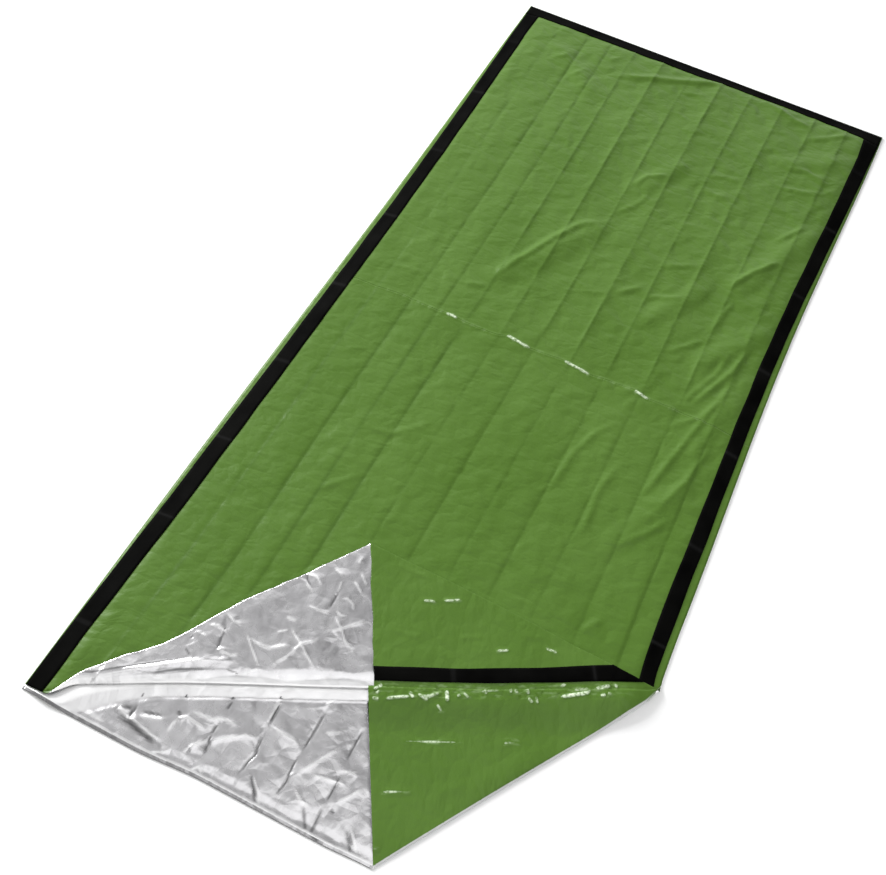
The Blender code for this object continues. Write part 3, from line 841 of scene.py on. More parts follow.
# The crinkled margin on both sides of the opened seam, between the tape and the flap
margin = {
    "tapeSide": (-0.011, 0.003),  # where it starts beside the tape, and where it ends on the flap
    "flapSide": 0.017,
    "flapFade": 0.004,
    "pucker": 0.0011,
    "puckerEvery": 0.0085,
    "rightFade": (0.03, 0.10),
    "glints": (  # small sharp folds that catch the light, with painted glints
        (((39, -756), (44, -747), (50, -739)), 1.3, 4, 4),
        (((46, -759), (50, -751)), 1.0, 3, 3),
        (((43, -768), (56, -764)), 1.2, 4, 4),
        (((61, -763), (69, -755), (84, -745), (101, -735)), 1.4, 4, 4),
        (((91, -731), (97, -733), (104, -738)), 1.5, 5, 5),
        (((104, -727), (116, -729), (128, -729)), 1.2, 5, 5),
        (((107, -734), (122, -723), (137, -711)), 1.0, 4, 4),
        (((119, -731), (129, -719), (138, -707)), 0.9, 4, 4),
        (((144, -699), (149, -708), (155, -719)), 1.9, 5, 5),
        (((139, -727), (147, -732), (157, -735)), 1.0, 4, 4),
        (((163, -702), (168, -697)), 1.0, 4, 4),
        (((169, -691), (175, -693), (183, -696)), 0.9, 4, 4),
        (((198, -670), (205, -677)), 0.9, 4, 4),
        (((234, -649), (240, -656)), 1.0, 4, 4),
        (((242, -647), (249, -652)), 1.1, 4, 4),
        (((260, -637), (265, -645)), 1.1, 4, 4),
        (((266, -649), (278, -655)), 1.1, 4, 4),
        (((276, -640), (286, -653)), 0.8, 4, 4),
        (((304, -607), (314, -600)), 1.1, 4, 4),
        (((308, -628), (328, -613), (348, -599), (356, -586)), 1.8, 5, 5),
        (((325, -605), (340, -596), (354, -588)), 0.9, 4, 4),
        (((356, -588), (368, -578), (381, -567)), 1.4, 4, 4),
        (((382, -563), (391, -568)), 1.3, 4, 4),
        (((370, -594), (378, -586)), 1.2, 4, 4),
        (((379, -584), (386, -581)), 1.0, 4, 4),
        (((190, -680), (226, -656)), 0.7, 4, 4),
    ),
    "glintWidth": 6.0,
    "glintLeast": 0.35,  # brightness of a fold's painted glint without height, and what each mm of height adds
    "glintGain": 0.5,
    # the margin's painted sheen, and how glossy it is
    "sheen": 0.45,
    "stepFine": 0.030,
}
marginFolds = prepared(unpulled(margin["glints"]))


def marginShare(x, y):
    # 1 in the crinkled margin
    below = side((x, y), seamLine)
    across = over(below, margin["tapeSide"]) * smooth((margin["flapSide"] - below) / margin["flapFade"])
    return across * over(fromFoldCorner(x, y), margin["rightFade"])


def marginGlint(spot):
    # the higher a small fold of the margin, the brighter its painted glint
    bright = 0.0
    for stroke, box in marginFolds:
        gain = margin["glintLeast"] + margin["glintGain"] * stroke[1]
        bright = max(bright, gain * linesAt(spot.x, spot.y, [(stroke, box)], margin["glintWidth"]))
    return min(bright, 1.0)


def greenGlintsAndGloss(spot, glint):
    # the margin's painted sheen, its painted glints and another one, which also make the film glossier
    return max(glint, marginGlint(spot), margin["sheen"] * marginShare(spot.x, spot.y))


def marginRelief(x, y):
    lines = strokesAt(x, y, marginFolds, True)
    share = marginShare(x, y)
    if share <= 0.0:
        return lines
    along, below = (Vector((x, y)) - foldCorner).dot(seamDirection), side((x, y), seamLine)
    phase = noiseAt(along * 60.0, below * 140.0, 5.0)
    wave = noiseAt(along / margin["puckerEvery"] + phase, below * 30.0, 2.0)
    return share * margin["pucker"] * (wave + 0.5 * phase) + lines


# The lower film: its silver side at the mouth, and the green flap wrapped up round the side
lower = {
    "seed": 29,
    "bowed": True,
    "darkest": 0.78,
    "facets": 28,
    "facetRise": 0.62,
    "creaseStep": 16,
    "creaseMost": 1.0,
    "lineShare": 0.85,
    "thin": 0.68,
    "ridges": (
        (((-322, -961), (-300, -961), (-268, -970), (-240, -977), (-211, -981)), 1.9, 7, 7),
        (((-268, -959), (-246, -953), (-224, -946)), 1.2, 6, 5),
        (((-216, -937), (-197, -929), (-159, -932)), 1.2, 6, 6),
        (((-198, -918), (-162, -913), (-146, -905), (-116, -902)), 1.2, 6, 6),
        (((-154, -946), (-164, -962), (-175, -979)), 1.7, 5, 5),
        (((-189, -986), (-204, -995), (-220, -1003)), 1.4, 6, 6),
        (((-146, -945), (-128, -930), (-108, -917)), 1.6, 7, 7),
        (((-210, -937), (-213, -964)), 1.0, 5, 5),
        (((-84, -832), (-83, -856), (-83, -880)), 0.9, 4, 4),
        (((-10, -796), (-15, -812)), 1.0, 4, 4),
        (((-81, -880), (-35, -883), (-18, -889)), 1.1, 5, 5),
        (((-130, -933), (-102, -911), (-86, -908)), 1.1, 6, 6),
        (((38, -858), (21, -891), (7, -914), (-8, -933)), 1.0, 7, 7),
        (((30, -835), (18, -844), (4, -852)), 0.9, 6, 6),
        (((100, -900), (86, -922), (72, -940)), 0.9, 6, 6),
        (((16, -919), (40, -914), (77, -908)), 0.8, 6, 7),
        (((57, -891), (70, -888), (84, -886)), 0.7, 5, 5),
        (((4, -947), (24, -961), (44, -964)), 0.7, 5, 5),
        (((-60, -960), (-42, -978), (-27, -996)), 0.8, 5, 5),
        (((112, -962), (126, -978), (138, -992)), 0.9, 5, 5),
        (((-150, -1000), (-140, -987), (-128, -995)), 1.0, 5, 5),
        (((-380, -993), (-340, -991), (-300, -994)), 0.8, 5, 5),
    ),
    "valleys": (
        (((-80, -890), (-78, -905), (-76, -919), (-73, -930), (-78, -947), (-80, -971)), -2.7, 5, 4.5),
        (((-80, -838), (-79, -880)), -1.0, 4, 4),
        (((-12, -816), (-11, -832), (-11, -869), (-12, -893)), -1.8, 4.5, 4.5),
        (((-15, -900), (-12, -930), (-10, -947), (-14, -972)), -1.4, 4.5, 4.5),
        (((56, -816), (55, -858), (58, -874)), -1.7, 4.5, 4.5),
        (((60, -897), (59, -947)), -0.8, 4, 4),
        (((58, -950), (60, -975), (62, -1001)), -1.4, 4.5, 4.5),
        (((60, -999), (80, -1001)), -1.2, 4, 4),
        (((-279, -944), (-278, -958), (-277, -972)), -1.8, 4.5, 4.5),
        (((-312, -963), (-290, -955), (-279, -950)), -0.8, 6, 6),
        (((-267, -952), (-246, -947), (-228, -943)), -0.8, 5, 5),
        (((-151, -916), (-150, -934)), -2.0, 4.5, 4.5),
        (((-150, -934), (-147, -950), (-142, -968)), -1.0, 4.5, 4.5),
        (((-149, -873), (-150, -890)), -1.2, 4, 4),
        (((-170, -968), (-166, -976)), -1.2, 4, 4),
        (((-68, -956), (-49, -978), (-32, -999)), -0.8, 4.5, 4.5),
        (((30, -964), (44, -984), (55, -999)), -0.8, 4.5, 4.5),
        (((105, -964), (116, -978), (130, -996)), -0.9, 4.5, 4.5),
        (((-308, -971), (-271, -978), (-235, -986), (-211, -990)), -1.0, 9, 8),
        (((70, -951), (79, -955)), -1.0, 4.5, 4.5),
        (((-217, -925), (-206, -932)), -0.8, 5, 5),
    ),
    # painted shade: small dark dots in the crumpled silver
    "dots": ((-218, -899), (-279, -930), (-152, -868), (-86, -832)),
    "dotSize": 3.2,
    # faint glossy creases of the flap, the first ones with painted glints
    "flapFolds": (
        (((256, -736), (292, -716)), 1.1, 5, 4),
        (((110, -811), (150, -790), (206, -763)), 0.8, 5, 5),
        (((122, -894), (150, -880), (174, -867)), 1.1, 5, 4),
        (((154, -976), (168, -970)), 1.2, 5, 5),
        (((230, -850), (290, -770), (330, -700)), 1.4, 22, 30),
        (((200, -860), (240, -820)), 0.7, 10, 10),
    ),
    "flapGlints": 4,  # so many of these creases shine with painted glints
    "rise": 0.0022,  # how far the crumpled film stands off the floor
    "bandFade": (0.003, 0.006),  # where the crumple starts below the band, at the flap and at the hem
    "flapHides": (-0.012, 0.010),
    "hemClear": (0.008, 0.018),
    "lineWidth": 3.0,
    "darkWidth": 3.7,
    "paleTo": 0.85,  # how far round the side fold its painted pale rim reaches, a painted highlight
    "paleEdge": -2.0,
    "tuck": 0.0030,
    "tuckDrop": 0.0003,
    "tuckGrow": 0.05,
    "tuckEdge": (-0.001, 0.002),
    "hem": 0.0021,  # the mouth edge is rolled into a small hem
    # painted highlight on the hem's crest, and painted shade below it
    "hemCrestLit": 0.6,
    "hemShade": 0.16,
    "hemCrest": 0.0055,
    "hemReach": 0.013,
    "hemEnds": 0.03,
    "hemUneven": (0.8, 0.3),
    "hemLit": (0.005, 0.003),  # the hem's painted highlight and painted shade reach this far past its crest, and fade
    "hemDark": (0.0008, 0.002),
    "paleFrom": 0.02,
    "paleFade": 0.15,
    "flapUneven": (0.78, 0.5),
}
lowerRidges = prepared(unpulled(lower["ridges"], True), lower["thin"])
lowerValleys = prepared(unpulled(lower["valleys"], True), lower["thin"])
flapFolds = prepared(unpulled(lower["flapFolds"]))
lowerFacets = crumpled(lower, (-460, -1040), (300, -700))


def tucked(mesh):
    # the flap reaches a little past the seam, under the turned corner's margin
    for vert in mesh.verts:
        along = foldCorner.y - vert.co.y
        if vert.co.x > halfWidth - 1e-4 and along > 0.0:
            vert.co.x += lower["tuck"] * smooth(along / lower["tuckGrow"])


flapStart = crossing(wrapStart, wrapDirection, leftTurn, Vector((1.0, 0.0)))
flapDirection = (wrapped(rightCorner.to_3d()).to_2d() - flapStart).normalized()
flapEdge = creaseThrough(mouthCorner.to_2d(), flapDirection, foldCorner)


def hemRise(x, y):
    # height of the rolled hem along the mouth edge
    fromEdge = y + halfLength
    if fromEdge > lower["hemReach"] + lower["hemCrest"]:
        return 0.0
    if fromEdge < lower["hemCrest"]:
        profile = fromEdge / lower["hemCrest"]
    else:
        profile = 1.0 - smooth((fromEdge - lower["hemCrest"]) / lower["hemReach"])
    uneven = wavering(lower["hemUneven"], x * 9.0, 0.0, 6.0)
    ends = smooth((x + halfWidth) / lower["hemEnds"]) * smooth(-side((x, y), wrapLine) / lower["hemEnds"])
    return lower["hem"] * profile * uneven * ends


def bandRise(x, y):
    # the lower film comes up to the roll in a smooth band, and stays up a little way under it
    outward = side((x, y), rollLine)
    room = min(fold["bandRise"], fold["bandShare"] * max(filmBase(x, y) - film - bag["gap"], 0.0))
    if outward > 0.0:
        slope = max(1.0 - outward / fold["bandWidth"], 0.0)
    else:
        slope = 1.0 - over(-outward, fold["bandUnder"])
    return room * slope * over(-side((x, y), wrapLine), fold["bandEnds"])


def lowerRelief(x, y):
    # the silver side that shows between the roll, the mouth edge and the flap
    outward = side((x, y), rollLine)
    early, fade = lower["bandFade"]
    calm = smooth((outward - fold["bandWidth"] + early) / fade)
    hidden = over(side((x, y), flapEdge), lower["flapHides"])
    edge = over(y + halfLength, lower["hemClear"])
    lines = strokesAt(x, y, lowerRidges, True) + strokesAt(x, y, lowerValleys, True)
    rise = facetAt(lowerFacets, x, y) + facetAt(smallFacets, x, y) + lower["lineShare"] * lines
    return (rise + lower["rise"]) * calm * (1.0 - hidden) * edge


def flapUnderside(x, y):
    below = max(side((x, y), seamLine), 0.0)
    atSeam = settled(x, y, 2 * fold["rollCentre"] + 2 * (fold["tipCentre"] - film))
    low = mix(fold["flapPressed"], fold["flapLow"], smooth((y + halfLength) / fold["pressedReach"]))
    return mix(atSeam, low, smooth((below - fold["flapLedge"]) / fold["flapSlope"]))


def layLower(point):
    # from the flat lower film to its place
    folded = wrapped(point)
    past = side(point, wrapLine)
    if past <= -wrapReach:
        relief = bandRise(folded.x, folded.y) + lowerRelief(folded.x, folded.y) + hemRise(folded.x, folded.y)
        return outline(Vector((folded.x, folded.y - bowedMouth(folded.x, folded.y), folded.z + relief)))
    underside = flapUnderside(folded.x, folded.y)
    folded = slumped(folded)
    turnedUnderside = 2 * fold["wrapCentre"] - film
    if folded.z >= turnedUnderside:
        height = underside + folded.z - turnedUnderside
        height -= lower["tuckDrop"] * over(point.x - halfWidth, lower["tuckEdge"])
        if past > wrapReach:
            height += strokesAt(folded.x, folded.y, flapFolds, True) + marginRelief(folded.x, folded.y)
            height += facetAt(smallFacets, folded.x, folded.y) * corner["tipCrumple"]
    elif folded.z > film:
        height = mix(film, underside, (folded.z - film) / (turnedUnderside - film))
    else:
        height = folded.z
    return outline(Vector((folded.x, folded.y, height)))


# Flat meshes
def gridAt(columns, rows, place):
    # a grid whose columns and rows lie at these places; place turns them into a point of the flat film
    mesh = bmesh.new()
    bmesh.ops.create_grid(mesh, x_segments=len(columns) - 1, y_segments=len(rows) - 1, size=0.5)
    for vert in mesh.verts:
        column = columns[round((vert.co.x + 0.5) * (len(columns) - 1))]
        row = rows[round((vert.co.y + 0.5) * (len(rows) - 1))]
        vert.co = place(column, row)
    return mesh


def cut(mesh, origin, away, faces=None, clear=False):
    faces = mesh.faces[:] if faces is None else faces
    edges = dict.fromkeys(edge for face in faces for edge in face.edges)
    verts = dict.fromkeys(vert for face in faces for vert in face.verts)
    bmesh.ops.bisect_plane(
        mesh, geom=[*verts, *edges, *faces], dist=2e-5, clear_outer=clear,
        plane_co=(origin[0], origin[1], 0.0), plane_no=(away[0], away[1], 0.0),
    )


cutNear = 0.02  # a cut takes only the faces this near to it


def cutTurn(mesh, crease, centre, steps):
    # lines along a fold, close enough to bend the film round its turn
    bend = centre - film / 2
    reach = math.pi * bend
    for step in range(steps + 1):
        near = [f for f in mesh.faces if abs(side(f.calc_center_median(), crease)) < reach + cutNear]
        cut(mesh, crease["origin"] + crease["away"] * (reach * (step / steps - 0.5)), crease["away"], near)


def spaced(start, end, step):
    count = max(round(abs(end - start) / step), 1)
    return [mix(start, end, i / count) for i in range(count + 1)]


def joined(*runs):
    return sorted({round(v, 6) for run in runs for v in run})


def addPiece(name, mesh, lay, height, materials, thickness, node, marks):
    # lays a flat mesh in place; marks gives, at a point of the flat film, the painted light and shade (on a
    # tape its joint marks instead), and the gloss with its painted glints
    uvs = mesh.loops.layers.uv.new("flat")
    marksAndPaintedLight = mesh.verts.layers.float.new("marksAndPaintedLight")
    glossAndPaintedGlint = mesh.verts.layers.float.new("glossAndPaintedGlint")
    for face in mesh.faces:
        face.smooth = True
        for loop in face.loops:
            loop[uvs].uv = (loop.vert.co.x + halfWidth, loop.vert.co.y + halfLength)
    for vert in mesh.verts:
        flat = Vector((vert.co.x, vert.co.y, height))
        vert.co = lay(flat)
        vert[marksAndPaintedLight], vert[glossAndPaintedGlint] = marks(flat, vert.co)
    data = bpy.data.meshes.new(name)
    mesh.to_mesh(data)
    mesh.free()
    piece = bpy.data.objects.new(name, data)
    bpy.context.scene.collection.objects.link(piece)
    for material in materials:
        data.materials.append(material)
    solid = piece.modifiers.new("thickness", "SOLIDIFY")
    solid.thickness = thickness
    solid.offset = 0.0
    solid.use_even_offset = False
    if len(materials) > 1:
        solid.material_offset = 1
        solid.material_offset_rim = 0
    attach(piece, "root")
    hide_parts(node)
    print(name, len(data.polygons), "faces")
    return piece


# Materials
def nodeTree(name):
    material = bpy.data.materials.new(name)
    material.use_nodes = True
    nodes = material.node_tree.nodes
    return material, material.node_tree, nodes["Principled BSDF"]


def addNode(tree, kind, inputs=(), **settings):
    node = tree.nodes.new(kind)
    for key, value in settings.items():
        setattr(node, key, value)
    for key, value in dict(inputs).items():
        if isinstance(value, bpy.types.NodeSocket):
            tree.links.new(value, node.inputs[key])
        else:
            node.inputs[key].default_value = value
    return node


def flatPlace(tree, stretch=(1.0, 1.0, 1.0)):
    place = addNode(tree, "ShaderNodeUVMap", uv_map="flat")
    return addNode(tree, "ShaderNodeMapping", {"Vector": place.outputs[0], "Scale": stretch}).outputs[0]


def noiseOf(tree, place, scale, detail=3.0):
    inputs = {"Vector": place, "Scale": scale, "Detail": detail}
    return addNode(tree, "ShaderNodeTexNoise", inputs).outputs["Fac"]


def rangeOf(tree, value, low, high, toLow, toHigh):
    inputs = {"Value": value, "From Min": low, "From Max": high, "To Min": toLow, "To Max": toHigh}
    return addNode(tree, "ShaderNodeMapRange", inputs).outputs[0]


def maths(tree, operation, first, second):
    return addNode(tree, "ShaderNodeMath", {0: first, 1: second}, operation=operation).outputs[0]


def markOf(tree, name):
    return addNode(tree, "ShaderNodeAttribute", attribute_name=name).outputs["Fac"]


def blended(tree, share, first, second):
    node = addNode(tree, "ShaderNodeMix", data_type="RGBA")
    for socket, value in ((node.inputs[0], share), (node.inputs[6], first), (node.inputs[7], second)):
        if isinstance(value, bpy.types.NodeSocket):
            tree.links.new(value, socket)
        else:
            socket.default_value = value
    return node.outputs[2]


def bumped(tree, height, distance, strength, under=None):
    inputs = {"Height": height, "Distance": distance, "Strength": strength}
    if under is not None:
        inputs["Normal"] = under
    return addNode(tree, "ShaderNodeBump", inputs).outputs[0]


def grained(tree, place, grain, under):
    scale, distance, strength = grain
    return bumped(tree, noiseOf(tree, place, scale), distance, strength, under)


greenLook = {
    "colour": (0.076, 0.158, 0.020, 1.0),
    "pale": (0.087, 0.174, 0.026, 1.0),
    # painted shade: the colour the creases are darkened towards
    "crease": (0.040, 0.092, 0.011, 1.0),
    # painted highlight: the pale grey rim of the side fold
    "foldRimHighlight": (0.60, 0.61, 0.60, 1.0),
    # painted highlight: the colour and strength of the painted glints
    "glint": (0.80, 0.92, 0.70, 1.0),
    "paintedGlint": 0.92,
    # painted sheen: lighter green streaks where the gloss mark is set
    "crinkleLight": (0.26, 0.38, 0.17, 1.0),
    "crinkleSheen": 0.38,
    "roughness": (0.33, 0.44),
    "creaseShade": 0.50,
    "specular": 0.17,
    # how much the gloss mark lowers the roughness
    "glossAndPaintedGlint": 0.24,
    # facets of the crinkled film: how many to a metre, and their slope
    "facets": ((34.0, 0.060), (78.0, 0.055)),
    "grain": (260.0, 0.00012, 0.5),  # how many to a metre, height and strength
}
silverLook = {
    "colour": (0.605, 0.600, 0.612, 1.0),
    # painted highlight: the colour of the silver's painted pale lines and strips
    "pale": (0.96, 0.96, 0.96, 1.0),
    # painted shade: the colour of the silver's dark valleys, hem and dots
    "dark": (0.05, 0.05, 0.05, 1.0),
    "roughness": 0.25,
    # roughness where the silver is painted pale, and how pale the painted highlights make it
    "paleRoughness": 0.48,
    "marksAndPaintedLight": 0.62,
    "facets": ((26.0, 0.034), (66.0, 0.020)),
    "grain": (220.0, 0.0001, 0.30),
}
tapeLook = {
    "colour": (0.0014, 0.0014, 0.0013, 1.0),
    "pale": (0.0042, 0.0042, 0.0038, 1.0),
    "joint": (0.016, 0.016, 0.016, 1.0),
    "jointShare": 0.5,
    "specular": 0.01,
    "roughness": (0.60, 0.80),
    "fibres": (700.0, 0.00015, 0.6),
    "grain": (60.0, 0.0006, 0.4),
}


def facetBump(tree, place, facets):
    # a crinkled film: flat facets that meet in straight creases, in two sizes
    inputs = {"Vector": place, "Scale": 9.0, "Detail": 2.0}
    bent = addNode(tree, "ShaderNodeTexNoise", inputs).outputs["Color"]
    bent = addNode(tree, "ShaderNodeVectorMath", {0: bent, "Scale": 0.03}, operation="SCALE").outputs[0]
    place = addNode(tree, "ShaderNodeVectorMath", {0: place, 1: bent}, operation="ADD").outputs[0]
    total = 0.0
    for scale, slope in facets:
        inputs = {"Vector": place, "Scale": scale}
        edge = addNode(tree, "ShaderNodeTexVoronoi", inputs, feature="DISTANCE_TO_EDGE").outputs["Distance"]
        total = maths(tree, "ADD", maths(tree, "MULTIPLY", edge, slope / scale), total)
    return bumped(tree, total, 1.0, 1.0)


def greenFilm():
    material, tree, surface = nodeTree("green film")
    surface.inputs["Specular IOR Level"].default_value = greenLook["specular"]
    flat, stretched = flatPlace(tree), flatPlace(tree, (0.65, 1.0, 1.0))
    paintedLight, glossAndPaintedGlint = markOf(tree, "marksAndPaintedLight"), markOf(tree, "glossAndPaintedGlint")
    cloud = rangeOf(tree, noiseOf(tree, flat, 5.0, 4.0), 0.35, 0.65, 0.0, 1.0)
    colour = blended(tree, cloud, greenLook["colour"], greenLook["pale"])
    # painted shade along the creases, from the marks above 0
    shade = rangeOf(tree, paintedLight, 0.0, 1.0, 0.0, greenLook["creaseShade"])
    colour = blended(tree, shade, colour, greenLook["crease"])
    # painted highlight on the side fold's rim, from the marks below 0
    colour = blended(tree, rangeOf(tree, paintedLight, 0.0, -1.0, 0.0, 1.0), colour, greenLook["foldRimHighlight"])
    # painted sheen: lighter green streaks, most on the crinkled margin
    drawn = noiseOf(tree, flatPlace(tree, (1.0, 0.35, 1.0)), 120.0, 2.0)
    crinkle = rangeOf(tree, drawn, 0.52, 0.64, 0.0, greenLook["crinkleSheen"])
    light = maths(tree, "MULTIPLY", rangeOf(tree, glossAndPaintedGlint, 0.0, margin["sheen"], 0.0, 1.0), crinkle)
    colour = blended(tree, light, colour, greenLook["crinkleLight"])
    # painted glints: pale streaks where the gloss mark is high
    glint = rangeOf(tree, glossAndPaintedGlint, 0.5, 1.0, 0.0, greenLook["paintedGlint"])
    streaks = rangeOf(tree, noiseOf(tree, flat, 190.0), 0.36, 0.56, 0.15, 1.0)
    colour = blended(tree, maths(tree, "MULTIPLY", glint, streaks), colour, greenLook["glint"])
    tree.links.new(colour, surface.inputs["Base Color"])
    rough = rangeOf(tree, noiseOf(tree, flat, 60.0), 0.3, 0.7, *greenLook["roughness"])
    glossy = maths(tree, "MULTIPLY", glossAndPaintedGlint, greenLook["glossAndPaintedGlint"])
    tree.links.new(maths(tree, "SUBTRACT", rough, glossy), surface.inputs["Roughness"])
    facets = facetBump(tree, stretched, greenLook["facets"])
    tree.links.new(grained(tree, flat, greenLook["grain"], facets), surface.inputs["Normal"])
    return material


def silverFilm():
    material, tree, surface = nodeTree("silver film")
    surface.inputs["Metallic"].default_value = 1.0
    flat = flatPlace(tree)
    paintedLight = markOf(tree, "marksAndPaintedLight")
    most = fold["rollLit"]
    bright = rangeOf(tree, paintedLight, 0.0, most, 0.0, most * silverLook["marksAndPaintedLight"])
    # a valley's painted shade goes down to -1, and below that is the side fold's painted highlight
    valley = rangeOf(tree, paintedLight, 0.0, -1.0, 0.0, 1.0)
    dark = maths(tree, "MULTIPLY", valley, rangeOf(tree, paintedLight, -1.0, -1.4, 1.0, 0.0))
    colour = blended(tree, bright, silverLook["colour"], silverLook["pale"])
    colour = blended(tree, dark, colour, silverLook["dark"])
    tree.links.new(colour, surface.inputs["Base Color"])
    rough = rangeOf(tree, bright, 0.0, 1.0, silverLook["roughness"], silverLook["paleRoughness"])
    uneven = rangeOf(tree, noiseOf(tree, flat, 40.0, 4.0), 0.3, 0.7, -0.06, 0.06)
    tree.links.new(maths(tree, "ADD", rough, uneven), surface.inputs["Roughness"])
    crumple = facetBump(tree, flat, silverLook["facets"])
    tree.links.new(grained(tree, flat, silverLook["grain"], crumple), surface.inputs["Normal"])
    return material


def blackTape():
    material, tree, surface = nodeTree("black tape")
    flat = flatPlace(tree)
    scale, distance, strength = tapeLook["fibres"]
    fibre = noiseOf(tree, flat, scale, 2.0)
    patch = rangeOf(tree, noiseOf(tree, flat, 14.0), 0.3, 0.7, 0.0, 1.0)
    colour = blended(tree, patch, tapeLook["colour"], tapeLook["pale"])
    joints = maths(tree, "MULTIPLY", markOf(tree, "marksAndPaintedLight"), tapeLook["jointShare"])
    tree.links.new(blended(tree, joints, colour, tapeLook["joint"]), surface.inputs["Base Color"])
    surface.inputs["Specular IOR Level"].default_value = tapeLook["specular"]
    tree.links.new(rangeOf(tree, fibre, 0.2, 0.8, *tapeLook["roughness"]), surface.inputs["Roughness"])
    weave = bumped(tree, fibre, distance, strength)
    tree.links.new(grained(tree, flat, tapeLook["grain"], weave), surface.inputs["Normal"])
    return material


green, silver, black = greenFilm(), silverFilm(), blackTape()
print("materials made")

# The upper film, in two runs that meet in the crosswise crease, and the turned corner beyond the roll
upperHeight = film / 2 + 0.0001
meetAt = rollReach + 0.0020
meetLine = rollLine["origin"] - rollLine["away"] * meetAt
fieldStep = {"across": 0.0045, "along": 0.0049, "crease": 0.0025, "beside": 0.010, "straight": 0.09}


def fieldColumns():
    # a column right on each crease
    reach = fieldStep["crease"]
    edges = [-halfWidth - reach, *creaseXs, halfWidth + reach]
    runs = [spaced(left + reach, right - reach, fieldStep["across"]) for left, right in zip(edges, edges[1:])]
    return joined(creaseXs, *runs)


# painted shade along the lengthwise creases, and the gloss with painted glints on the crosswise crease
def fieldMarks(flat, place):
    nearest = min(abs(x - flat.x) for x in creaseXs)
    fade = wavering(field["shadeUneven"], flat.x * 3.0, flat.y * 6.0, 4.0)
    ends = smooth((halfLength - flat.y) / field["shadeEnds"])
    line = max(1.0 - nearest / field["nearCrease"], 0.0) * fade * ends
    if flat.x < field["shadeLeft"]:
        line *= mix(1.0, field["shadeFoot"], towardsFoot(flat.y))
    else:
        line *= field["shadeRight"]
    cross = linesAt(flat.x, flat.y, crossFold, field["glintWidth"])
    glint = max(smooth(alongGlint(flat.x, stretch) * 3.0) for stretch in field["glints"])
    return max(line * (1.0 - cross), 0.0), cross * mix(field["glintLeast"], 1.0, glint)


columns = fieldColumns()
beside, along, fine = fieldStep["beside"], fieldStep["along"], fieldStep["crease"]
mouthRows = joined(spaced(-halfLength, -beside, along), spaced(-beside, 0.0, fine))
footRows = joined(spaced(0.0, beside, fine), spaced(beside, halfLength, along))


def fieldPlace(x, y):
    # the rows near the crosswise crease run along it
    for (x0, y0), (x1, y1) in zip(field["cross"], field["cross"][1:]):
        if x0 <= x / millimetre <= x1:
            bent = mix(y0, y1, (x / millimetre - x0) / (x1 - x0)) * millimetre
            return Vector((x, y + bent * (1.0 - smooth(abs(y) / fieldStep["straight"])), 0.0))
    return Vector((x, y, 0.0))


def addField(name, rows):
    mesh = gridAt(columns, rows, fieldPlace)
    cut(mesh, meetLine, rollLine["away"], clear=True)
    return addPiece(
        name, mesh, layUpper, upperHeight, [green, silver], bag["drawnFilm"], "top_panel",
        fieldMarks,
    )


mouthRun = addField("upper_film_mouth", mouthRows)
footRun = addField("upper_film_foot", footRows)


def cornerPaleness(flat, unslumped, spot):
    # painted reflection: the roll and the strip beside it are painted paler, and so is the free edge near the
    # left end, a painted highlight
    reach = abs(side(flat, rollLine))
    early, fade = fold["bandPale"]
    fromEdge = side(unslumped, leftEdge) / millimetre
    edge = smooth(fadesOut - abs(fromEdge - corner["paleEdge"]) / corner["paleEdge"])
    edge *= 1.0 - over((unslumped.to_2d() - leftTurn).length, corner["edgeFades"])
    return max(
        fold["rollLit"] * (1.0 - smooth((reach - rollReach) / corner["rollEdge"])),
        corner["stripLit"] * smooth((corner["stripEdge"] - reach) / corner["stripFade"]),
        fold["cornerBandLit"] * smooth((fold["sagWidth"] - early - reach) / fade),
        corner["wedgeLit"] * linesAt(spot.x, spot.y, wedge, corner["wedgeWidth"]),
        corner["edgeLit"] * edge,
    )


# on the silver side, painted highlights on ridges and pale strips and painted shade in valleys; on the tip's
# green side, gloss with painted glints
def cornerMarks(flat, place):
    unslumped = cornerFolded(flat)
    spot = slumped(unslumped)
    if side(flat, tipLine) >= 0.0:
        return 0.0, greenGlintsAndGloss(spot, linesAt(spot.x, spot.y, tipFolds, corner["tipGlint"]))
    light = linesAt(spot.x, spot.y, cornerRidges, corner["lineWidth"])
    dark = corner["darkest"] * linesAt(spot.x, spot.y, cornerValleys, corner["lineWidth"])
    light = max(light, cornerPaleness(flat, unslumped, spot))
    return (light if light > dark else -dark), 0.0


def cornerPlace(along, past):
    point = leftTurn - rollDirection * along + rollLine["away"] * past
    return Vector((point.x, point.y, 0.0))


cornerStep = {"beside": 0.0020, "roll": 0.0010, "rest": 0.0024}
rollLength = (rollEnd - leftTurn).length
depth = side(rightCorner, rollLine)
rows = joined(
    spaced(-meetAt, -rollReach, cornerStep["beside"]), spaced(-rollReach, rollReach, cornerStep["roll"]),
    spaced(rollReach, depth + 0.004, cornerStep["rest"]),
)
columns = spaced(-0.10, rollLength + 0.25, cornerStep["rest"])
flat = gridAt(columns, rows, cornerPlace)
cut(flat, (halfWidth, 0.0), (1.0, 0.0), clear=True)
cut(flat, (-halfWidth, 0.0), (-1.0, 0.0), clear=True)
cut(flat, (0.0, -halfLength), (0.0, -1.0), clear=True)
cutTurn(flat, tipLine, fold["tipCentre"], 4)
bmesh.ops.recalc_face_normals(flat, faces=flat.faces[:])
if flat.faces[:][0].normal.z < 0.0:
    bmesh.ops.reverse_faces(flat, faces=flat.faces[:])
upperCorner = addPiece(
    "turned_corner", flat, layUpper, upperHeight, [green, silver], bag["drawnFilm"], "top_panel",
    cornerMarks,
)

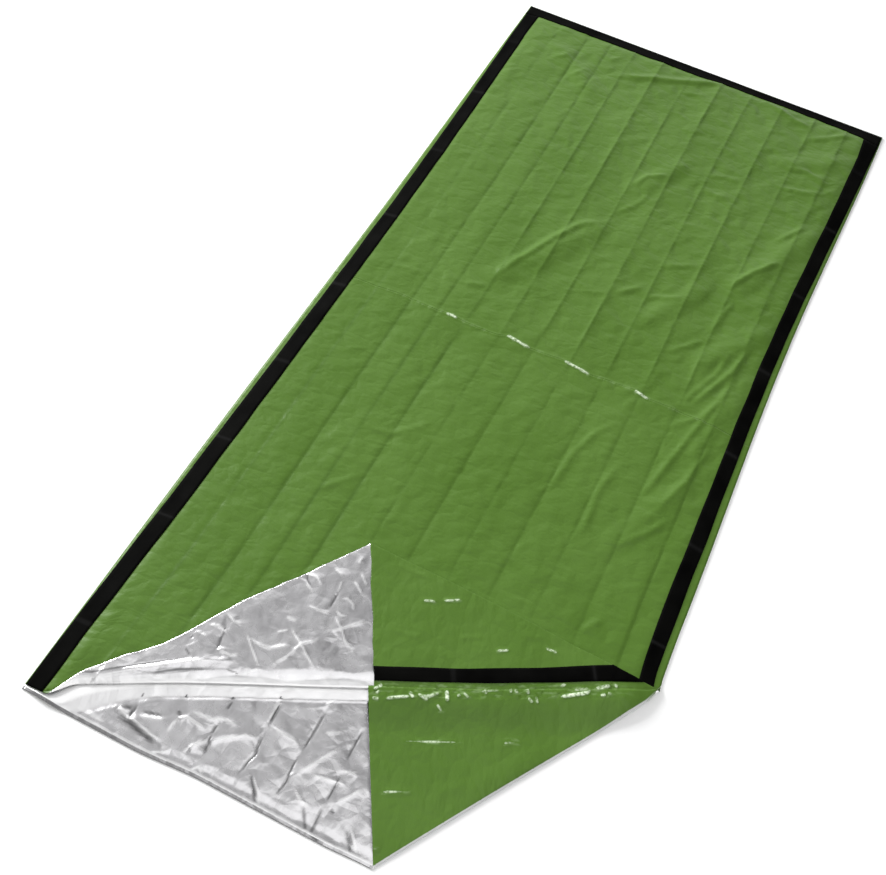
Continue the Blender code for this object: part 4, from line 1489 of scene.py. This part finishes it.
# The lower film, fine only where it shows
lowerStep = {
    "base": 0.020,
    "hem": (0.0015, 0.0035, 0.0055, 0.0075, 0.0110),
    "spare": (0.03, 0.015, 0.0),
    "past": {"roll": 0.012, "flap": 0.008, "wrap": 0.03, "turn": 0.02},  # fine this far past each line
    "tuckCut": 0.002,
    "tuckNear": 0.03,
}


def refine(mesh, wanted):
    edges = dict.fromkeys(
        edge for face in mesh.faces if wanted(face.calc_center_median()) for edge in face.edges
    )
    bmesh.ops.subdivide_edges(mesh, edges=list(edges), cuts=1, use_grid_fill=True)


def silverShows(middle, spare):
    past = lowerStep["past"]
    beyondRoll = side(middle, rollLine) > -past["roll"] - spare
    beforeFlap = side(middle, flapEdge) < past["flap"] + spare
    return beyondRoll and beforeFlap and side(middle, wrapLine) < past["wrap"]


def besideSeam(middle):
    return middle.x > halfWidth - margin["stepFine"] and middle.y < foldCorner.y


def flapTurns(middle, spare):
    return side(middle, wrapLine) > -lowerStep["past"]["turn"] - spare


def sideFoldMark(flat, place):
    # the green side of the side fold is painted pale grey along its rim, a painted highlight
    share = side(flat, wrapLine) / wrapReach
    near = fromFoldCorner(place.x, place.y) / fromFoldCorner(mouthCorner.x, mouthCorner.y)
    pale = smooth((lower["paleTo"] - share) / lower["paleFade"])
    return lower["paleEdge"] * (pale * smooth((near - lower["paleFrom"]) / lower["paleFade"]))


def silverMark(flat, place):
    # above 0 for painted highlights on ridges, the band, the roll's strip and the hem's crest, below 0 for
    # painted shade in valleys, on the hem and in the dots
    light = linesAt(flat.x, flat.y, lowerRidges, lower["lineWidth"])
    dark = lower["darkest"] * linesAt(flat.x, flat.y, lowerValleys, lower["darkWidth"])
    outward, fromEdge = side(flat, rollLine), flat.y + halfLength
    strip, fade = fold["rollStrip"]
    litPast, litFade = lower["hemLit"]
    darkPast, darkFade = lower["hemDark"]
    light = max(
        light,
        fold["bandLit"] * smooth((fold["bandWidth"] - outward) / fold["bandEdge"]),
        fold["rollLit"] * smooth((strip - outward) / fade),
        lower["hemCrestLit"] * smooth((lower["hemCrest"] + litPast - fromEdge) / litFade),
    )
    dark = max(dark, lower["hemShade"] * smooth((lower["hemCrest"] + darkPast - fromEdge) / darkFade))
    if fromEdge < lower["hemCrest"]:
        light = 0.0
    for x, y in lower["dots"]:
        away = math.hypot(place.x / millimetre - x, place.y / millimetre - y)
        dark = max(dark, smooth(fadesOut - away / lower["dotSize"]))
    return light if light > dark else -dark


def lowerMarks(flat, place):
    if abs(side(flat, wrapLine)) < wrapReach:
        return sideFoldMark(flat, place), 0.0
    if side(flat, wrapLine) < 0.0:
        return silverMark(flat, place), 0.0
    spot = slumped(wrapped(flat))
    faint = wavering(lower["flapUneven"], spot.x * 40.0, spot.y * 40.0, 3.0)
    shining = flapFolds[:lower["flapGlints"]]
    return 0.0, greenGlintsAndGloss(spot, faint * linesAt(spot.x, spot.y, shining, corner["tipGlint"]))


columns = spaced(-halfWidth, halfWidth, lowerStep["base"])
rows = spaced(-halfLength, halfLength, lowerStep["base"])
flat = gridAt(columns, rows, lambda x, y: Vector((x, y, 0.0)))
wide, less, least = lowerStep["spare"]
refine(flat, lambda middle: silverShows(middle, wide) or flapTurns(middle, wide))
refine(flat, lambda middle: silverShows(middle, less) or flapTurns(middle, least))
refine(flat, lambda middle: silverShows(middle, least) or besideSeam(middle))
refine(flat, besideSeam)
for offset in lowerStep["hem"]:
    near = [f for f in flat.faces if f.calc_center_median().y < -halfLength + cutNear]
    cut(flat, (0.0, -halfLength + offset), (0.0, 1.0), near)
cutTurn(flat, wrapLine, fold["wrapCentre"], 8)
near = [f for f in flat.faces if f.calc_center_median().x > halfWidth - lowerStep["tuckNear"]]
cut(flat, (halfWidth - lowerStep["tuckCut"], 0.0), (1.0, 0.0), near)
tucked(flat)
lowerFilm = addPiece(
    "lower_film", flat, layLower, film / 2, [silver, green], bag["drawnFilm"], "bottom_panel",
    lowerMarks,
)
print("films laid")

# The tapes: each row is a place along the bag, the green margin outside the tape and the tape's width, in mm
tapes = {
    "left": (
        (1000, 1.5, 33), (900, 3, 32), (600, 8, 31), (200, 11, 32),
        (-300, 11, 34), (-600, 8, 34), (-850, 2, 33), (-1000, 1.5, 32),
    ),
    "right": (
        (1000, 1.5, 40), (900, 3, 32), (600, 7, 29), (200, 12, 28),
        (-300, 14, 29), (-600, 13, 28), (-850, 11, 25), (-1000, 11, 25),
    ),
    "foot": {"width": 0.034, "margin": 0.0015, "puff": 0.006, "puffAt": 190, "puffHalf": 190},
    "height": 0.00150,
    "step": 0.0065,
    "bends": (-0.62, -0.44),  # finer between these, where the right tape folds
    "stepFine": (0.004, 0.0018),
    "across": 6,
    "waver": 0.0012,
    "joints": (-870, -640, -455, -250, -30, 190, 420, 640, 850),
    "jointHalf": 5.0,
}
footEdge = halfLength - tapes["foot"]["margin"]
footInner = footEdge - tapes["foot"]["width"]


def tapeAt(rows, y):
    # margin and width of a side tape, with a slight waver of its cut edges
    place = y / millimetre
    for (y0, margin0, width0), (y1, margin1, width1) in zip(rows, rows[1:]):
        if y1 <= place <= y0:
            share = (y0 - place) / (y0 - y1)
            return mix(margin0, margin1, share) * millimetre, mix(width0, width1, share) * millimetre
    return rows[-1][1] * millimetre, rows[-1][2] * millimetre


def tapeMarks(flat, place):
    nearest = min(abs(flat.y / millimetre - y) for y in tapes["joints"])
    return smooth(1.0 - nearest / tapes["jointHalf"]), 0.0


def addTape(name, mesh, marks):
    return addPiece(
        name, mesh, layUpper, tapes["height"], [black], bag["drawnTape"], name, marks,
    )


def addSideTape(name, rows, sign):
    start, end = tapes["bends"]
    before, within = tapes["stepFine"]
    places = joined(
        spaced(-halfLength, start, before), spaced(start, end, within),
        spaced(end, footInner - bag["gap"], tapes["step"]),
    )
    seed = 2.0 + sign

    def place(share, y):
        edge, width = tapeAt(rows, y)
        outer = edge + tapes["waver"] * noiseAt(y * 11.0, seed, 0.0)
        inner = edge + width + tapes["waver"] * noiseAt(y * 13.0, seed, 5.0)
        return Vector((sign * (halfWidth - mix(outer, inner, share)), y, 0.0))

    mesh = gridAt(spaced(0.0, 1.0, 1.0 / tapes["across"]), places, place)
    if sign > 0:
        bmesh.ops.reverse_faces(mesh, faces=mesh.faces[:])
        cutTurn(mesh, rollLine, fold["rollCentre"], 6)
        cutTurn(mesh, tipLine, fold["tipCentre"], 4)
    return addTape(name, mesh, tapeMarks)


def footPlace(x, share):
    outer = footEdge + tapes["waver"] * (0.8 + noiseAt(x * 9.0, 1.0, 0.0)) - 0.001
    inner = footInner + tapes["waver"] * noiseAt(x * 12.0, 7.0, 0.0)
    puffed = 1.0 - abs(x / millimetre - tapes["foot"]["puffAt"]) / tapes["foot"]["puffHalf"]
    inner += tapes["foot"]["puff"] * smooth(puffed * 2.0)
    return Vector((x, mix(inner, min(outer, halfLength), share), 0.0))


addSideTape("left_tape", tapes["left"], -1)
addSideTape("right_tape", tapes["right"], 1)
footMargin = tapes["foot"]["margin"]
columns = spaced(-halfWidth + footMargin, halfWidth - footMargin, tapes["step"])
footMesh = gridAt(columns, spaced(0.0, 1.0, 1.0 / tapes["across"]), footPlace)
addTape("foot_tape", footMesh, lambda flat, place: (0.0, 0.0))
print("tapes laid")

# Floor, light and camera
studio = {
    "floor": (0.94, 0.94, 0.94, 1.0),
    "floorSize": 16.0,
    "floorDrop": 0.0005,
    "floorRoughness": 0.9,
    "base": 0.27,
    # direction, cosine at the edge and at the full brightness, and brightness of each soft wall of the room
    "walls": (
        ((-0.60, 0.40, 0.70), 0.75, 1.00, 0.40),
        ((-0.20, 0.90, 0.34), 0.78, 1.00, 1.10),
        ((0.05, -0.12, 1.00), 0.86, 1.00, 0.55),
    ),
    # place, aim, size and power of each soft light
    "lights": (
        ("over", (0.5, -1.1, 3.0), (0.1, -0.5, 0.0), 2.6, 16.0),
        ("left", (-4.6, 1.8, 1.9), (0.0, 0.1, 0.0), 2.6, 460.0),
        ("right", (2.6, -1.6, 1.9), (0.4, -0.5, 0.0), 1.6, 26.0),
    ),
}


def addFloor():
    mesh = bmesh.new()
    bmesh.ops.create_grid(mesh, x_segments=1, y_segments=1, size=studio["floorSize"] / 2)
    data = bpy.data.meshes.new("floor")
    mesh.to_mesh(data)
    mesh.free()
    floor = bpy.data.objects.new("floor", data)
    floor.location.z = -studio["floorDrop"]
    bpy.context.scene.collection.objects.link(floor)
    material, tree, surface = nodeTree("pale floor")
    surface.inputs["Base Color"].default_value = studio["floor"]
    surface.inputs["Roughness"].default_value = studio["floorRoughness"]
    data.materials.append(material)


def addRoom():
    world = bpy.data.worlds.new("room")
    world.use_nodes = True
    tree = world.node_tree
    background = tree.nodes["Background"]
    place = addNode(tree, "ShaderNodeTexCoord").outputs["Generated"]
    total = studio["base"]
    for direction, edge, full, bright in studio["walls"]:
        away = Vector(direction).normalized()
        towards = addNode(tree, "ShaderNodeVectorMath", {0: place, 1: away}, operation="DOT_PRODUCT")
        towards = towards.outputs["Value"]
        inputs = {"Value": towards, "From Min": edge, "From Max": full, "To Min": 0.0, "To Max": bright}
        wall = addNode(tree, "ShaderNodeMapRange", inputs, interpolation_type="SMOOTHSTEP").outputs[0]
        total = maths(tree, "ADD", wall, total)
    tree.links.new(total, background.inputs["Color"])
    bpy.context.scene.world = world


def addLights():
    for name, place, aim, size, power in studio["lights"]:
        data = bpy.data.lights.new(name, "AREA")
        data.shape = "SQUARE"
        data.size = size
        data.energy = power
        light = bpy.data.objects.new(name, data)
        light.location = place
        light.rotation_mode = "QUATERNION"
        light.rotation_quaternion = (Vector(aim) - Vector(place)).to_track_quat("-Z", "Y")
        bpy.context.scene.collection.objects.link(light)


cameraSetting = {
    "place": (0.3248, -1.4301, 1.8306),
    "aim": (-0.0784, -0.2555, 0.0),
    "roll": 8.56,
    "lens": 48.57,
    "sensor": 36.0,
}


def addCamera():
    data = bpy.data.cameras.new("camera")
    data.sensor_width = cameraSetting["sensor"]
    data.lens = cameraSetting["lens"]
    camera = bpy.data.objects.new("camera", data)
    camera.location = cameraSetting["place"]
    camera.rotation_mode = "QUATERNION"
    look = (Vector(cameraSetting["aim"]) - camera.location).to_track_quat("-Z", "Y")
    camera.rotation_quaternion = look @ Quaternion((0.0, 0.0, 1.0), math.radians(cameraSetting["roll"]))
    bpy.context.scene.collection.objects.link(camera)
    bpy.context.scene.camera = camera


addFloor()
addRoom()
addLights()
addCamera()
bpy.context.scene.view_settings.view_transform = "Standard"
print("studio ready")
